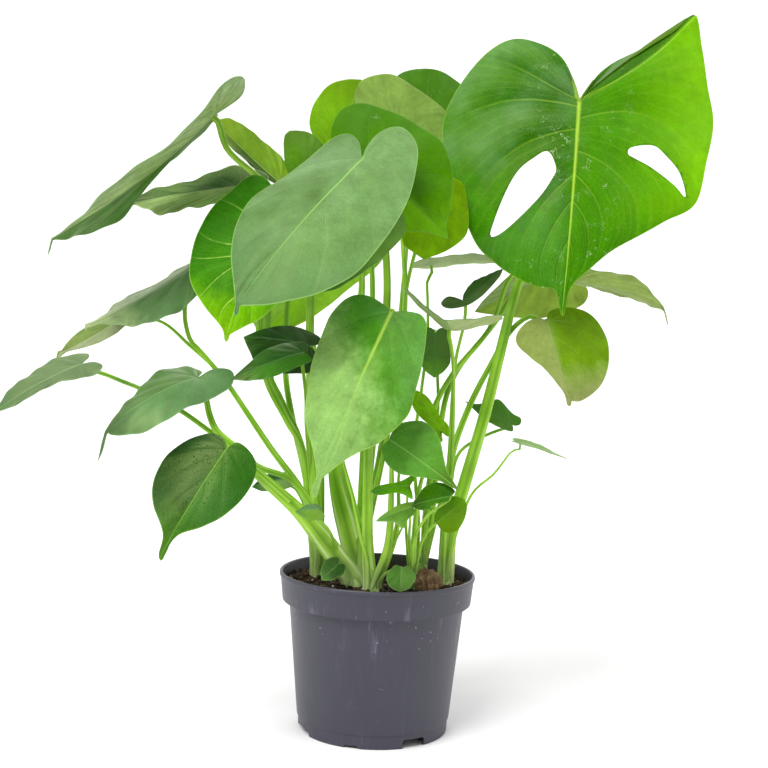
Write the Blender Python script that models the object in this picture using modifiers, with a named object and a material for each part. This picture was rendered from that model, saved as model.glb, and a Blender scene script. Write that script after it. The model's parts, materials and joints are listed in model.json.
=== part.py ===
"""Potted swiss cheese plant: a young Monstera with six stem clumps in a plain nursery pot.

All sizes below are in millimetres and become metres when a mesh is made.
The pot stands on z = 0 with its axis on x = y = 0, and the seen side of the plant faces -y.
"""
import math
import random

import bmesh
import bpy
from mathutils import Matrix, Vector

MM = 0.001

# ---- pot ----
POT_HEIGHT = 137.0
RIM_RADIUS = 85.0
BAND_HEIGHT = 25.0
BAND_FOOT_RADIUS = 82.0
WALL_TOP_RADIUS = 76.0
FOOT_RADIUS = 65.0
WALL = 2.0
FOOT_HEIGHT = 9.0
FLOOR_THICKNESS = 2.5
POT_STEPS = 40
# centre angle from the front, width, depth of each notch in the foot
NOTCHES = ((-72, 32, 5.0), (-15, 12, 2.5), (33, 19, 7.5), (108, 32, 5.0), (165, 12, 2.5), (213, 19, 7.5))

# ---- soil ----
SOIL_TOP = 127.0
SOIL_LUMP = 2.2
SOIL_GAP = 0.35
HOLE_DEPTH = 8.0
HOLE_GAP = 0.4
STUB_SIDES = 12

# ---- blades and petioles ----
BLADE = 0.8
MIDRIB_SOFTNESS = 5.0
PETIOLE_GAP = 0.3
PETIOLE_RUN_IN = 7.0

TONES = {
    "bright": (0.07, 0.32, 0.01),
    "grey": (0.09, 0.22, 0.08),
    "dark": (0.04, 0.20, 0.02),
    "deep": (0.015, 0.08, 0.02),
    "mid": (0.05, 0.22, 0.03),
    "lime": (0.25, 0.52, 0.01),
    "olive": (0.22, 0.36, 0.07),
    "pale": (0.18, 0.40, 0.05),
    "stem": (0.25, 0.50, 0.04),
}


def leaf(name, tone, base, tip, face, left, right, fold=(0, 0), bow=0, curl=0, drip=0, fine=(8, 2)):
    """One blade: where it joins its petiole, its tip, the way its top faces and both half outlines.

    A half is (half width, lobe length, share of the length where it is widest, fullness) or a list of
    outline points (across, along) from the petiole to the tip. fold tilts the halves up in degrees, and a
    pair of angles twists a half from petiole to tip. A drip tip hangs on by its length in mm.
    """
    return dict(name=name, tone=tone, base=Vector(base), tip=Vector(tip), face=Vector(face),
                halves=(left, right),
                fold=fold, bow=bow, curl=curl, drip=drip, fine=fine)


BIG = (13, 3)
MEDIUM = (10, 2)
SMALL = (7, 2)

LEAVES = [
    leaf("leaf_01", "bright", (165, 50, 556), (151, -5, 371), (0, -1, 0.3),
         [(6, -5), (9, -24), (17, -41), (34, -54), (61, -61), (83, -50), (104, -23), (118, 9), (120, 38),
          (114, 65),
          (103, 94), (82, 138), (64, 155), (44, 168), (24, 176), (9, 178)],
         [(6, -9), (12, -23), (19, -39), (33, -54), (54, -68), (84, -88), (105, -112), (114, -79), (121, -42),
          (128, -5),
          (122, 37), (113, 80), (86, 101), (64, 118), (39, 137), (20, 157), (5, 175)],
         fold=(-10, -10), bow=8, curl=6, drip=6, fine=(17, 3)),
    leaf("leaf_02", "grey", (-24, -70, 485), (-112, -150, 367), (-0.1, -0.8, 0.6),
         [(14, -16), (30, -22), (40, -8), (45, 35), (52, 62), (54, 85), (47, 109), (35, 130), (12, 156)],
         [(-5, -14), (-6, -30), (-1, -43), (8, -49), (22, -44), (34, -30), (48, 0), (57, 27), (61, 63),
          (59, 99), (48, 128), (29, 151), (10, 164)],
         fold=(-6, -4), bow=8, curl=6, drip=10, fine=BIG),
    leaf("leaf_03", "dark", (-16, -30, 485), (49, -45, 425), (-0.05, -0.85, 0.4),
         [(12, -2), (28, 4), (36, 23), (34, 44), (23, 60), (8, 76)],
         [(-2, -20), (-10, -33), (-6, -44), (7, -52), (20, -54), (35, -47), (45, -32), (53, -14), (57, 7),
          (57, 28), (42, 53), (21, 71), (7, 80)],
         bow=5, curl=5, fine=BIG),
    leaf("leaf_04", "lime", (38, 15, 468), (31, 5, 409), (0.1, -0.9, -0.2),
         (24, 14, 0.55, 0.35), (34, 16, 0.45, 0.05), bow=4, curl=4),
    leaf("leaf_05", "lime", (-51, 125, 514), (-32, 117, 579), (0, -0.9, 0.3),
         [(13, 2), (25, 16), (28, 38), (20, 57), (10, 66)],
         [(12, -3), (23, 1), (33, 12), (36, 28), (33, 42), (26, 55), (13, 64)], bow=4, curl=4),
    leaf("leaf_06", "olive", (3, 104, 538), (77, 99, 494), (0.2, 0.8, 0.6),
         [(-8, -16), (-10, -34), (0, -45), (17, -47), (31, -39), (43, -24), (44, -4), (42, 16), (38, 37),
          (22, 64)],
         [(14, -6), (32, -2), (40, 18), (28, 55)], bow=4, curl=4, fine=MEDIUM),
    leaf("leaf_07", "dark", (35, 135, 553), (97, 150, 507), (0, -0.9, 0.4),
         [(17, 0), (35, 9), (40, 33), (22, 63)],
         [(-12, -14), (-10, -34), (3, -45), (18, -42), (37, -25), (46, -3), (42, 26), (22, 58)],
         bow=4, curl=4, fine=MEDIUM),
    leaf("leaf_08", "dark", (-68, 5, 481), (-88, -5, 514), (0, -0.9, 0.4),
         [(11, 0), (19, 9), (19, 19), (15, 29), (7, 36)],
         [(10, -2), (18, 5), (18, 17), (12, 30), (6, 38)], bow=3, curl=3),
    leaf("leaf_09", "pale", (-99, 42, 474), (-158, 46, 527), (0.2, -0.85, 0.3),
         [(12, -2), (19, 12), (21, 25), (20, 40), (17, 58), (12, 73)],
         [(16, 4), (20, 20), (24, 35), (25, 49), (15, 66)], fold=(4, 58), bow=-3, curl=2, fine=MEDIUM),
    leaf("leaf_10", "grey", (-152, -15, 522), (-275, -60, 414), (-0.53, 0.05, 0.83),
         [(12, -8), (24, 0), (28, 26), (28, 60), (33, 92), (38, 118), (31, 142), (10, 163)],
         [(-2, -11), (0, -23), (8, -31), (26, -33), (46, -29), (58, -21), (62, -10), (60, 6), (57, 34),
          (48, 75),
          (30, 124), (9, 156)],
         fold=((8, -24), 0), bow=-5, drip=14, fine=BIG),
    leaf("leaf_11", "grey", (-130, 10, 467), (-236, 14, 447), (0, 0, 1),
         [(3, -11), (10, -25), (18, -17), (25, -1), (26, 12), (23, 28), (18, 43), (14, 61), (13, 83),
          (7, 99)],
         [(11, 7), (16, 17), (21, 31), (24, 45), (24, 58), (21, 71), (14, 84), (6, 98)],
         fold=(58, -60), bow=2, fine=MEDIUM),
    leaf("leaf_12", "bright", (-104, -44, 422), (-128, -78, 341), (-0.1, -0.85, 0.4),
         [(3, -28), (12, -51), (26, -57), (36, -50), (44, -33), (52, -17), (56, 2), (54, 30), (45, 54),
          (27, 72),
          (8, 85)],
         [(4, -10), (14, -22), (28, -20), (37, -6), (38, 18), (36, 43), (26, 67), (5, 88)],
         bow=5, curl=5, drip=6, fine=BIG),
    leaf("leaf_13", "olive", (-36, 75, 431), (-112, 55, 339), (0, 0.9, -0.3),
         [(4, -12), (18, -18), (33, -14), (39, -2), (38, 16), (33, 35), (29, 61), (23, 85), (10, 112)],
         [(14, -2), (31, 10), (39, 39), (38, 75), (31, 106), (12, 119)], bow=4, curl=4, fine=MEDIUM),
    leaf("leaf_14", "deep", (-63, -62, 334), (-114, -80, 340), (0, -0.8, 0.5),
         (17, 12, 0.15, 0.0), (29, 8, 0.5, 0.35), bow=3, curl=3),
    leaf("leaf_15", "mid", (-65, -98, 329), (-119, -118, 308), (0, -0.7, 0.7),
         (18, 7, 0.2, -0.15), (12, 4, 0.55, 0.07), bow=3, curl=3, fine=MEDIUM),
    leaf("leaf_16", "grey", (-155, -45, 303), (-222, -85, 260), (0, -0.48, 0.88),
         [(6, -8), (20, -9), (32, -4), (36, 12), (30, 33), (18, 54), (6, 76)],
         [(-2, -15), (4, -24), (13, -27), (21, -20), (25, -6), (28, 12), (30, 35), (28, 58), (17, 79),
          (6, 88)],
         fold=(-14, -14), bow=8, drip=24, fine=MEDIUM),
    leaf("leaf_17", "dark", (-125, -75, 249), (-171, -110, 167), (-0.1, -0.85, 0.4),
         [(9, -6), (21, -5), (33, 6), (41, 23), (42, 42), (37, 58), (27, 70), (8, 85)],
         [(4, -8), (16, -7), (27, 0), (32, 12), (33, 28), (29, 48), (19, 65), (4, 82)],
         fold=(-5, -5), bow=5, curl=4, drip=5, fine=MEDIUM),
    leaf("leaf_18", "grey", (-236, -115, 315), (-296, -140, 278), (0, -0.5, 0.85),
         [(4, -8), (12, -10), (19, -2), (22, 12), (20, 32), (15, 50), (8, 64)],
         [(4, -10), (12, -13), (17, -5), (15, 8), (9, 22), (9, 38), (9, 54), (5, 66)], fold=(-8, -10),
         bow=4, fine=MEDIUM),
    leaf("leaf_19", "olive", (-233, 0, 346), (-276, -20, 318), (0, 0.9, -0.3),
         (9, 10, 0.1, 0.0), (10, 10, 0.5, 0.05), bow=3, drip=12),
    leaf("leaf_20", "grey", (-165, 5, 400), (-253, -25, 343), (0, -0.5, 0.85),
         [(9, -8), (20, 0), (24, 22), (22, 52), (14, 80), (5, 96)],
         [(9, -3), (24, 7), (32, 22), (38, 42), (36, 58), (25, 75), (10, 95)],
         fold=((-34, -16), -10), bow=-3, drip=4, fine=MEDIUM),
    leaf("leaf_21", "mid", (4, -95, 364), (-49, -150, 230), (-0.05, -0.9, 0.35),
         [(4, -2), (11, -5), (19, -7), (27, -7), (35, -4), (41, 3), (45, 18), (45, 32), (44, 49), (42, 65),
          (37, 81), (33, 95), (28, 108), (21, 118), (14, 127), (7, 138), (3, 146)],
         [(5, -2), (10, -5), (17, -7), (23, -7), (29, -2), (33, 9), (37, 24), (40, 39), (42, 56), (44, 71),
          (42, 82), (37, 95), (30, 108), (21, 117), (13, 127), (6, 139), (2, 147)],
         fold=(-4, -4), bow=8, curl=6, drip=8, fine=BIG),
    leaf("leaf_22", "mid", (6, -100, 263), (62, -118, 227), (0.1, -0.85, 0.4),
         [(4, -1), (8, -1), (12, 2), (16, 7), (18, 14), (18, 23), (14, 33), (9, 42), (4, 52), (2, 61)],
         [(4, -2), (14, -3), (20, 0), (26, 5), (30, 12), (29, 22), (23, 33), (14, 43), (7, 51), (3, 60)],
         bow=3, curl=3, fine=MEDIUM),
    leaf("leaf_23", "dark", (23, -98, 226), (-8, -104, 222), (0, -0.6, 0.7),
         [(14, -9), (9, 0), (5, 8), (4, 19), (3, 27)],
         [(13, 0), (9, 6), (6, 13), (6, 25)], bow=2, fine=SMALL),
    leaf("leaf_24", "mid", (26, -98, 210), (-3, -108, 199), (0, -0.8, 0.5),
         [(3, -4), (5, 6), (4, 17), (2, 27)],
         [(6, 0), (9, 8), (15, 16), (8, 19), (3, 27)], bow=2, fine=SMALL),
    leaf("leaf_25", "dark", (55, -118, 222), (24, -126, 215), (0, -0.8, 0.5),
         [(4, -5), (11, 1), (14, 9), (12, 18), (6, 26)],
         [(4, 4), (4, 14), (7, 22), (4, 29)], bow=2, fine=SMALL),
    leaf("leaf_26", "mid", (46, -95, 197), (67, -103, 218), (0.1, -0.9, 0.3),
         [(6, -1), (13, 3), (15, 10), (12, 20), (6, 28)],
         [(5, 1), (8, 8), (10, 16), (9, 23), (5, 28)], bow=2, curl=2, fine=SMALL),
    leaf("leaf_27", "mid", (-35, -45, 149), (-46, -55, 139), (0, -0.8, 0.5),
         (10, 8, 0.06, 0.17), (9, 7, 0.0, 0.3), bow=1, fine=SMALL),
    leaf("leaf_28", "mid", (20, -66, 154), (19, -74, 136), (0, -0.9, 0.4),
         [(5, -2), (10, 3), (12, 10), (9, 16), (4, 19)],
         [(5, -2), (10, 2), (12, 8), (9, 14), (5, 18)], bow=1, curl=1, fine=SMALL),
    leaf("leaf_29", "dark", (-82, 20, 213), (-112, 5, 207), (0, -0.6, 0.7),
         (9, 5, 0.4, 0.0), (12, 6, 0.45, 0.2), bow=1, fine=SMALL),
    leaf("leaf_30", "grey", (-51, -56, 198), (-69, -66, 198), (0, -0.6, 0.7),
         (7, 5, 0.1, -0.1), (12, 4, 0.5, 0.04), bow=1, fine=SMALL),
    leaf("leaf_31", "dark", (117, 54, 264), (74, 48, 285), (0, -0.8, 0.5),
         [(4, -7), (11, -6), (11, 3), (14, 13), (16, 21), (9, 29), (2, 38)],
         [(5, -3), (8, 7), (9, 23), (5, 36)], bow=2, fine=SMALL),
    leaf("leaf_32", "olive", (119, -10, 255), (159, -20, 244), (-0.3, -0.2, 0.9),
         (5, 8, 0.12, -0.08), (6, 8, 0.1, -0.1), fold=(30, 30), bow=1, fine=SMALL),
    leaf("leaf_33", "olive", (141, 25, 360), (161, 0, 291), (0.1, -0.9, 0.3),
         [(6, -4), (17, -3), (28, 5), (31, 15), (23, 30), (15, 42), (8, 56), (3, 68)],
         [(4, -7), (13, -10), (26, -9), (41, -2), (50, 15), (51, 33), (44, 52), (31, 68), (12, 77)],
         fold=(-8, -8), bow=3, curl=2, drip=4, fine=MEDIUM),
    leaf("leaf_34", "olive", (168, 70, 396), (248, 45, 375), (0.2, 0.6, 0.8),
         [(9, -6), (18, 4), (20, 19), (23, 38), (22, 56), (12, 75)],
         [(3, -2), (5, 10), (6, 25), (8, 41), (9, 57), (5, 76)], bow=6, drip=16, fine=MEDIUM),
    leaf("leaf_35", "olive", (158, 110, 405), (82, 100, 365), (0, 0.9, 0.3),
         [(12, -12), (28, -22), (40, -12), (38, 20), (26, 48), (9, 74)],
         [(14, 3), (21, 24), (15, 48), (6, 74)], bow=3, curl=3, fine=MEDIUM),
    leaf("leaf_36", "deep", (68, 30, 375), (104, 60, 406), (-0.4, -0.6, 0.6),
         [(-11, 1), (-20, -1), (-18, -11), (-9, -15), (2, -11), (9, 0), (10, 17), (6, 42)],
         [(6, 6), (12, 22), (9, 38), (4, 49)]),
    leaf("leaf_37", "olive", (39, 60, 406), (114, 85, 412), (0, -0.1, 1),
         (26, 22, 0.2, 0.0), (24, 16, 0.2, 0.0), fold=(28, -15), bow=2, fine=MEDIUM),
    leaf("leaf_38", "grey", (54, -15, 350), (48, -85, 360), (0, 0, 1),
         (52, 16, 0.15, -0.2), (46, 18, 0.2, -0.15), fold=(42, 15), fine=MEDIUM),
    leaf("leaf_39", "deep", (45, 55, 345), (45, 45, 305), (0, -0.9, 0.2),
         (14, 5, 0.6, 0.1), (14, 5, 0.6, 0.1), bow=2, fine=SMALL),
    leaf("leaf_40", "lime", (49, -40, 265), (27, -35, 299), (0.1, -0.9, 0.2),
         [(3, -7), (7, -2), (8, 3), (6, 11), (6, 21), (5, 32)],
         [(3, -8), (6, -3), (6, 9), (9, 19), (10, 29), (6, 37)], bow=1, fine=SMALL),
    leaf("leaf_41", "deep", (-15, -55, 463), (-72, -101, 375), (-0.1, -0.8, 0.6),
         [(4, -3), (7, 15), (9, 52), (8, 83), (4, 108)],
         [(8, -9), (27, 2), (43, 18), (46, 30), (44, 47), (40, 67), (28, 93),
          (9, 110)], bow=5, curl=5, fine=MEDIUM),
]

# the two natural holes of the largest blade: 0 is its left half, 1 its right half
HOLES = (
    (0, [(25, 53), (17, 68), (19, 78), (31, 99), (55, 127), (68, 134), (66, 118), (58, 91), (49, 72),
         (37, 60)]),
    (1, [(47, 46), (50, 39), (70, 33), (82, 40), (96, 54), (103, 76), (91, 67), (69, 55), (53, 49)]),
)

# clump: x, y and radius of the short stub that stands in the soil
CLUMPS = {
    "stem_right": (56, -4, 10),
    "stem_back": (38, 34, 8),
    "stem_centre": (-14, 8, 11),
    "stem_front": (-4, -42, 9),
    "stem_left": (-52, 12, 9),
    "stem_low": (-21, -28, 9),
    "stem_small": (29, -30, 5.5),
}
STUB_TOP = 138.0
FOOT_TOP = 132.0

# clump, blade, radius at the foot, radius at the blade, way points; True starts it on another petiole
PETIOLES = [
    ("stem_right", "leaf_01", 5.9, 3.2, False, [(62, -3, 176), (71, 0, 209), (89, 15, 275), (103, 30, 336),
                                                (116, 45, 389), (140, 70, 455), (160, 73, 515)]),
    ("stem_right", "leaf_33", 3.5, 2.2, False, [(57, 8, 174), (61, 18, 233), (75, 25, 279), (94, 32, 319),
                                                (111, 40, 349), (128, 40, 363)]),
    ("stem_right", "leaf_31", 2, 1.4, False, [(64, 15, 173), (63, 30, 212), (70, 46, 238), (92, 60, 252)]),
    ("stem_right", "leaf_32", 1.6, 0.9, False, [(65, -16, 170), (78, -16, 209), (97, -15, 228),
                                                (111, -12, 247)]),
    ("stem_back", "leaf_34", 3, 2, False, [(41, 32, 178), (46, 36, 241), (45, 38, 275), (62, 44, 310),
                                           (94, 58, 351), (111, 72, 396), (132, 74, 410), (152, 70, 401)]),
    ("stem_back", "leaf_35", 3, 2, False, [(47, 40, 177), (52, 52, 257), (64, 62, 307), (101, 84, 356),
                                           (122, 92, 391), (143, 97, 403)]),
    ("stem_back", "leaf_36", 2, 1.4, False, [(50, 26, 179), (59, 24, 225), (61, 30, 287), (63, 34, 322),
                                             (69, 36, 353)]),
    ("stem_back", "leaf_37", 1.8, 1.3, False, [(35, 38, 177), (29, 46, 239), (34, 54, 292), (38, 60, 338),
                                               (37, 66, 374), (36, 66, 391)]),
    ("stem_right", "leaf_38", 2, 1.6, False, [(57, -12, 181), (60, -16, 227), (60, -12, 280), (59, -8, 317),
                                              (56, -11, 337)]),
    ("stem_back", "leaf_39", 1.8, 1.4, False, [(44, 44, 176), (48, 56, 239), (50, 66, 284)]),
    ("stem_centre", "leaf_03", 4.5, 3, False, [(-13, 0, 164), (-10, 0, 234), (-4, -2, 304), (0, -4, 363),
                                               (-2, -2, 411), (-9, -6, 454)]),
    ("stem_centre", "leaf_13", 9, 2.5, False, [(-26, 8, 171), (-39, 16, 222), (-37, 32, 274), (-28, 44, 336),
                                               (-23, 56, 386), (-29, 64, 413)]),
    ("stem_centre", "leaf_05", 3.2, 2, False, [(-17, 14, 170), (-16, 24, 249), (-14, 36, 328), (-13, 48, 377),
                                               (-18, 62, 436), (-25, 88, 463), (-42, 118, 488)]),
    ("stem_centre", "leaf_06", 3, 2, False, [(-10, 18, 170), (5, 32, 258), (15, 48, 338), (16, 58, 387),
                                             (11, 76, 442), (6, 96, 503)]),
    ("stem_centre", "leaf_07", 2.5, 1.8, False, [(-11, 22, 169), (1, 44, 256), (11, 72, 337), (15, 98, 392),
                                                 (20, 124, 469), (29, 144, 523)]),
    ("stem_centre", "leaf_04", 2.2, 1.6, False, [(-12, 10, 180), (3, 18, 259), (15, 28, 334), (17, 34, 383),
                                                 (27, 34, 431)]),
    ("stem_front", "leaf_21", 5, 3, False, [(-9, -50, 169), (-10, -62, 200), (-11, -76, 255), (-9, -82, 297),
                                            (-4, -84, 333)]),
    ("stem_front", "leaf_22", 4, 1.8, False, [(8, -58, 171), (9, -78, 220), (8, -88, 245)]),
    ("stem_small", "leaf_40", 3.2, 1.2, False, [(30, -30, 168), (33, -30, 214), (42, -33, 249)]),
    ("stem_small", "leaf_23", 1.5, 1, False, [(25, -42, 160), (22, -62, 190), (22, -82, 210)]),
    ("stem_small", "leaf_24", 1.5, 1, False, [(27, -48, 158), (25, -70, 182), (25, -84, 196)]),
    ("stem_small", "leaf_25", 1.6, 1, False, [(28, -52, 155), (29, -80, 181), (38, -104, 204)]),
    ("stem_small", "leaf_26", 1.8, 1.1, False, [(33, -50, 157), (35, -64, 174), (40, -80, 188)]),
    ("stem_left", "leaf_02", 4.5, 3, False, [(-51, -2, 159), (-57, -22, 227), (-60, -32, 270),
                                             (-62, -42, 321),
                                             (-63, -44, 350), (-62, -46, 383), (-56, -50, 414),
                                             (-48, -56, 444),
                                             (-40, -68, 468)]),
    ("stem_left", "leaf_41", 1.8, 1.4, True, [(-61, -46, 392), (-42, -48, 426), (-24, -51, 447)]),
    ("stem_left", "leaf_14", 2, 1.4, False, [(-58, -12, 199), (-62, -28, 261), (-62, -44, 305)]),
    ("stem_left", "leaf_15", 2, 1.4, False, [(-59, -14, 208), (-63, -50, 266), (-62, -88, 294)]),
    ("stem_left", "leaf_12", 3.2, 2.2, False, [(-58, 6, 161), (-67, -6, 237), (-82, -8, 266), (-101, -8, 301),
                                               (-108, -20, 344), (-106, -32, 387)]),
    ("stem_left", "leaf_10", 4, 2.6, False, [(-57, 14, 160), (-70, 12, 239), (-90, 8, 283), (-101, 8, 309),
                                             (-103, 10, 370), (-97, 8, 430), (-97, -2, 458), (-115, -6, 475),
                                             (-140, -3, 496)]),
    ("stem_left", "leaf_11", 2.4, 1.6, False, [(-69, 4, 236), (-87, 0, 275), (-104, 0, 311), (-108, 2, 369),
                                               (-114, 10, 425), (-121, 8, 451)]),
    ("stem_left", "leaf_09", 3.2, 2.2, False, [(-54, 20, 159), (-68, 22, 221), (-80, 22, 267), (-87, 24, 305),
                                               (-88, 28, 352), (-87, 30, 405), (-88, 32, 445)]),
    ("stem_left", "leaf_08", 2, 1.3, False, [(-50, 18, 159), (-52, 16, 231), (-57, 16, 284), (-62, 16, 331),
                                             (-69, 16, 373), (-71, 14, 431)]),
    ("stem_low", "leaf_16", 8, 2.4, False, [(-34, -31, 152), (-49, -32, 171), (-69, -36, 194),
                                            (-104, -44, 226), (-109, -50, 236),
                                              (-125, -54, 250), (-137, -52, 260), (-144, -47, 273),
                                              (-148, -44, 287)]),
    ("stem_low", "leaf_17", 3, 1.8, True, [(-75, -42, 203), (-102, -50, 227), (-114, -62, 238)]),
    ("stem_low", "leaf_18", 3, 1.7, False, [(-36, -22, 156), (-70, -26, 213), (-105, -32, 230),
                                            (-143, -32, 256),
                                            (-170, -32, 274), (-201, -32, 290), (-214, -60, 299),
                                            (-227, -94, 308)]),
    ("stem_left", "leaf_20", 3.2, 1.8, False, [(-54, 6, 161), (-66, -2, 202), (-96, -8, 243), (-133, -4, 294),
                                               (-146, -2, 309), (-160, 0, 324), (-169, 0, 334),
                                               (-174, 1, 356),
                                               (-170, 1, 378)]),
    ("stem_left", "leaf_19", 1.6, 1.1, True, [(-150, -1, 313), (-169, 2, 328), (-193, 4, 347),
                                              (-218, -5, 351)]),
    ("stem_left", "leaf_29", 1.6, 1, False, [(-56, 12, 158), (-64, 14, 184), (-74, 18, 203)]),
    ("stem_low", "leaf_30", 1.8, 1.1, False, [(-34, -30, 157), (-42, -46, 180)]),
    ("stem_front", "leaf_28", 1.6, 1.2, False, [(8, -54, 147), (17, -60, 151)]),
    ("stem_low", "leaf_27", 1.6, 1.2, False, [(-38, -36, 144), (-36, -40, 148)]),
]

# young shoots, still rolled to a point: clump, radius at the foot, radius at the tip, way points
YOUNG_SHOOTS = [
    ("stem_front", 4.5, 0.8, [(3, -49, 148), (8, -54, 163), (15, -57, 177), (21, -58, 190)]),
    ("stem_front", 3.2, 1, [(-9, -49, 158), (-15, -53, 180), (-23, -58, 212), (-31, -62, 239),
                            (-36, -64, 262)]),
    ("stem_front", 3.4, 1, [(8, -41, 156), (14, -40, 176), (16, -38, 196), (15, -38, 223), (17, -40, 253)]),
]


def clear_scene():
    for obj in list(bpy.data.objects):
        bpy.data.objects.remove(obj, do_unlink=True)
    for mesh in list(bpy.data.meshes):
        bpy.data.meshes.remove(mesh)


def add_object(name, mesh):
    obj = bpy.data.objects.new(name, mesh)
    bpy.context.scene.collection.objects.link(obj)
    return obj


def mesh_from_bmesh(name, work):
    bmesh.ops.recalc_face_normals(work, faces=work.faces)
    mesh = bpy.data.meshes.new(name)
    work.to_mesh(mesh)
    work.free()
    return mesh


def paint(obj, colour, roughness):
    material = bpy.data.materials.new(obj.name + "_surface")
    material.use_nodes = True
    shader = material.node_tree.nodes["Principled BSDF"]
    shader.inputs["Base Color"].default_value = (*colour, 1.0)
    shader.inputs["Roughness"].default_value = roughness
    obj.data.materials.clear()
    obj.data.materials.append(material)


def apply_modifiers(obj):
    """Bake the modifiers of a work piece into its mesh."""
    graph = bpy.context.evaluated_depsgraph_get()
    mesh = bpy.data.meshes.new_from_object(obj.evaluated_get(graph), depsgraph=graph)
    mesh.name = obj.name
    obj.modifiers.clear()
    old = obj.data
    obj.data = mesh
    bpy.data.meshes.remove(old)


def as_cutter(obj):
    obj.hide_render = True
    obj.display_type = "WIRE"
    return obj


def spline(points, steps, closed=False, crowd=1.0):
    """Smooth curve through the points; crowd above 1 takes closer steps towards its end."""
    pts = [Vector(p) for p in points]
    if closed:
        pts = [pts[-1]] + pts + [pts[0], pts[1]]
    else:
        pts = [2 * pts[0] - pts[1]] + pts + [2 * pts[-1] - pts[-2]]
    dense = []
    parts = 12
    for i in range(1, len(pts) - 2):
        a, b, c, d = pts[i - 1:i + 3]
        for k in range(parts):
            t = k / parts
            dense.append(0.5 * (2 * b + (c - a) * t + (2 * a - 5 * b + 4 * c - d) * t * t
                                + (3 * b - a - 3 * c + d) * t ** 3))
    dense.append(pts[-2])
    reach = [0.0]
    for p, q in zip(dense, dense[1:]):
        reach.append(reach[-1] + (q - p).length)
    out = []
    k = 0
    for i in range(steps + 1):
        want = reach[-1] * (1 - (1 - i / steps) ** crowd)
        while k < len(reach) - 2 and reach[k + 1] < want:
            k += 1
        span = max(reach[k + 1] - reach[k], 1e-9)
        out.append(dense[k].lerp(dense[k + 1], min(1.0, (want - reach[k]) / span)))
    return out


# ---------------------------------------------------------------- blades
def blade_frame(row):
    along = (row["tip"] - row["base"]).normalized()
    up = row["face"] - along * row["face"].dot(along)
    up.normalize()
    return along.cross(up), along, up, (row["tip"] - row["base"]).length


def half_outline(row, side, length):
    half = row["halves"][side]
    end = [(2.0, length), (0, length + row["drip"])] if row["drip"] else [(0, length)]
    if isinstance(half, list):
        return [(0, 0)] + half + end
    wide, lobe, share, full = half
    low = share * length
    rest = length - low
    return [(0, 0), (0.10 * wide, -0.60 * lobe), (0.38 * wide, -lobe), (0.74 * wide, -0.72 * lobe),
            (0.96 * wide, 0.45 * low - 0.12 * lobe), (wide, low),
            ((0.88 + 0.25 * full) * wide, low + 0.30 * rest),
            ((0.50 + 0.8 * full) * wide, low + 0.66 * rest),
            ((0.15 + 0.35 * full) * wide, low + 0.90 * rest)] + end


def half_width(row, side):
    half = row["halves"][side]
    return max(p[0] for p in half) if isinstance(half, list) else half[0]


def fold_at(row, side, u):
    """Tilt of one half at share u of the length."""
    fold = row["fold"][side]
    if isinstance(fold, tuple):
        return fold[0] + (fold[1] - fold[0]) * max(0.0, u)
    return fold


def bend(row, frame, side, across, along):
    """Place a flat blade point in space with the fold, bow, curl and drip tip of its leaf."""
    x_dir, y_dir, z_dir, length = frame
    reach = across / half_width(row, side)
    soft = math.sqrt(across * across + MIDRIB_SOFTNESS ** 2) - MIDRIB_SOFTNESS
    hang = max(0.0, along - length)
    along = min(along, length)
    u = along / length
    angle = math.radians(fold_at(row, side, u))
    bow = row["bow"] * (4 * u * (1 - u) if u > 0 else 1.2 * u)
    lift = soft * math.sin(angle) + bow - row["curl"] * reach * reach
    sign = 1 if side == 0 else -1
    droop = (y_dir * 0.35 - Vector((0, 0, 1))).normalized() * hang
    return row["base"] + x_dir * (sign * across * math.cos(angle)) + y_dir * along + z_dir * lift + droop


def midrib_share(s):
    """Where on the midrib the vein to outline share s starts."""
    first = 0.35
    return max(0.0, (s - first) / (1 - first)) ** 1.1


def make_blade(row):
    frame = blade_frame(row)
    length = frame[3]
    rows, cols = row["fine"]
    rims = [spline([(x, y, 0) for x, y in half_outline(row, side, length)], rows, crowd=1.25)
            for side in (0, 1)]
    work = bmesh.new()
    bmesh.ops.create_grid(work, x_segments=rows, y_segments=2 * cols, size=1.0)
    for vert in work.verts:
        s = (vert.co.x + 1) / 2
        side = 0 if vert.co.y >= 0 else 1
        t = abs(vert.co.y)
        rim = rims[side][round(s * rows)]
        foot = (length + row["drip"]) * midrib_share(s)
        spot = bend(row, frame, side, rim.x * t, foot + (rim.y - foot) * t)
        vert.co = spot * MM
    bmesh.ops.remove_doubles(work, verts=work.verts, dist=1e-5)
    bmesh.ops.triangulate(work, faces=work.faces)
    bmesh.ops.recalc_face_normals(work, faces=work.faces)
    work.normal_update()
    middle = sum((f.normal * f.calc_area() for f in work.faces), Vector())
    if middle.dot(frame[2]) < 0:
        bmesh.ops.reverse_faces(work, faces=work.faces)
    mesh = bpy.data.meshes.new(row["name"])
    work.to_mesh(mesh)
    work.free()
    obj = add_object(row["name"], mesh)
    solid = obj.modifiers.new("Thickness", "SOLIDIFY")
    solid.thickness = BLADE * MM
    solid.offset = -1.0
    solid.use_even_offset = False
    paint(obj, TONES[row["tone"]], 0.4)
    return obj


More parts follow.
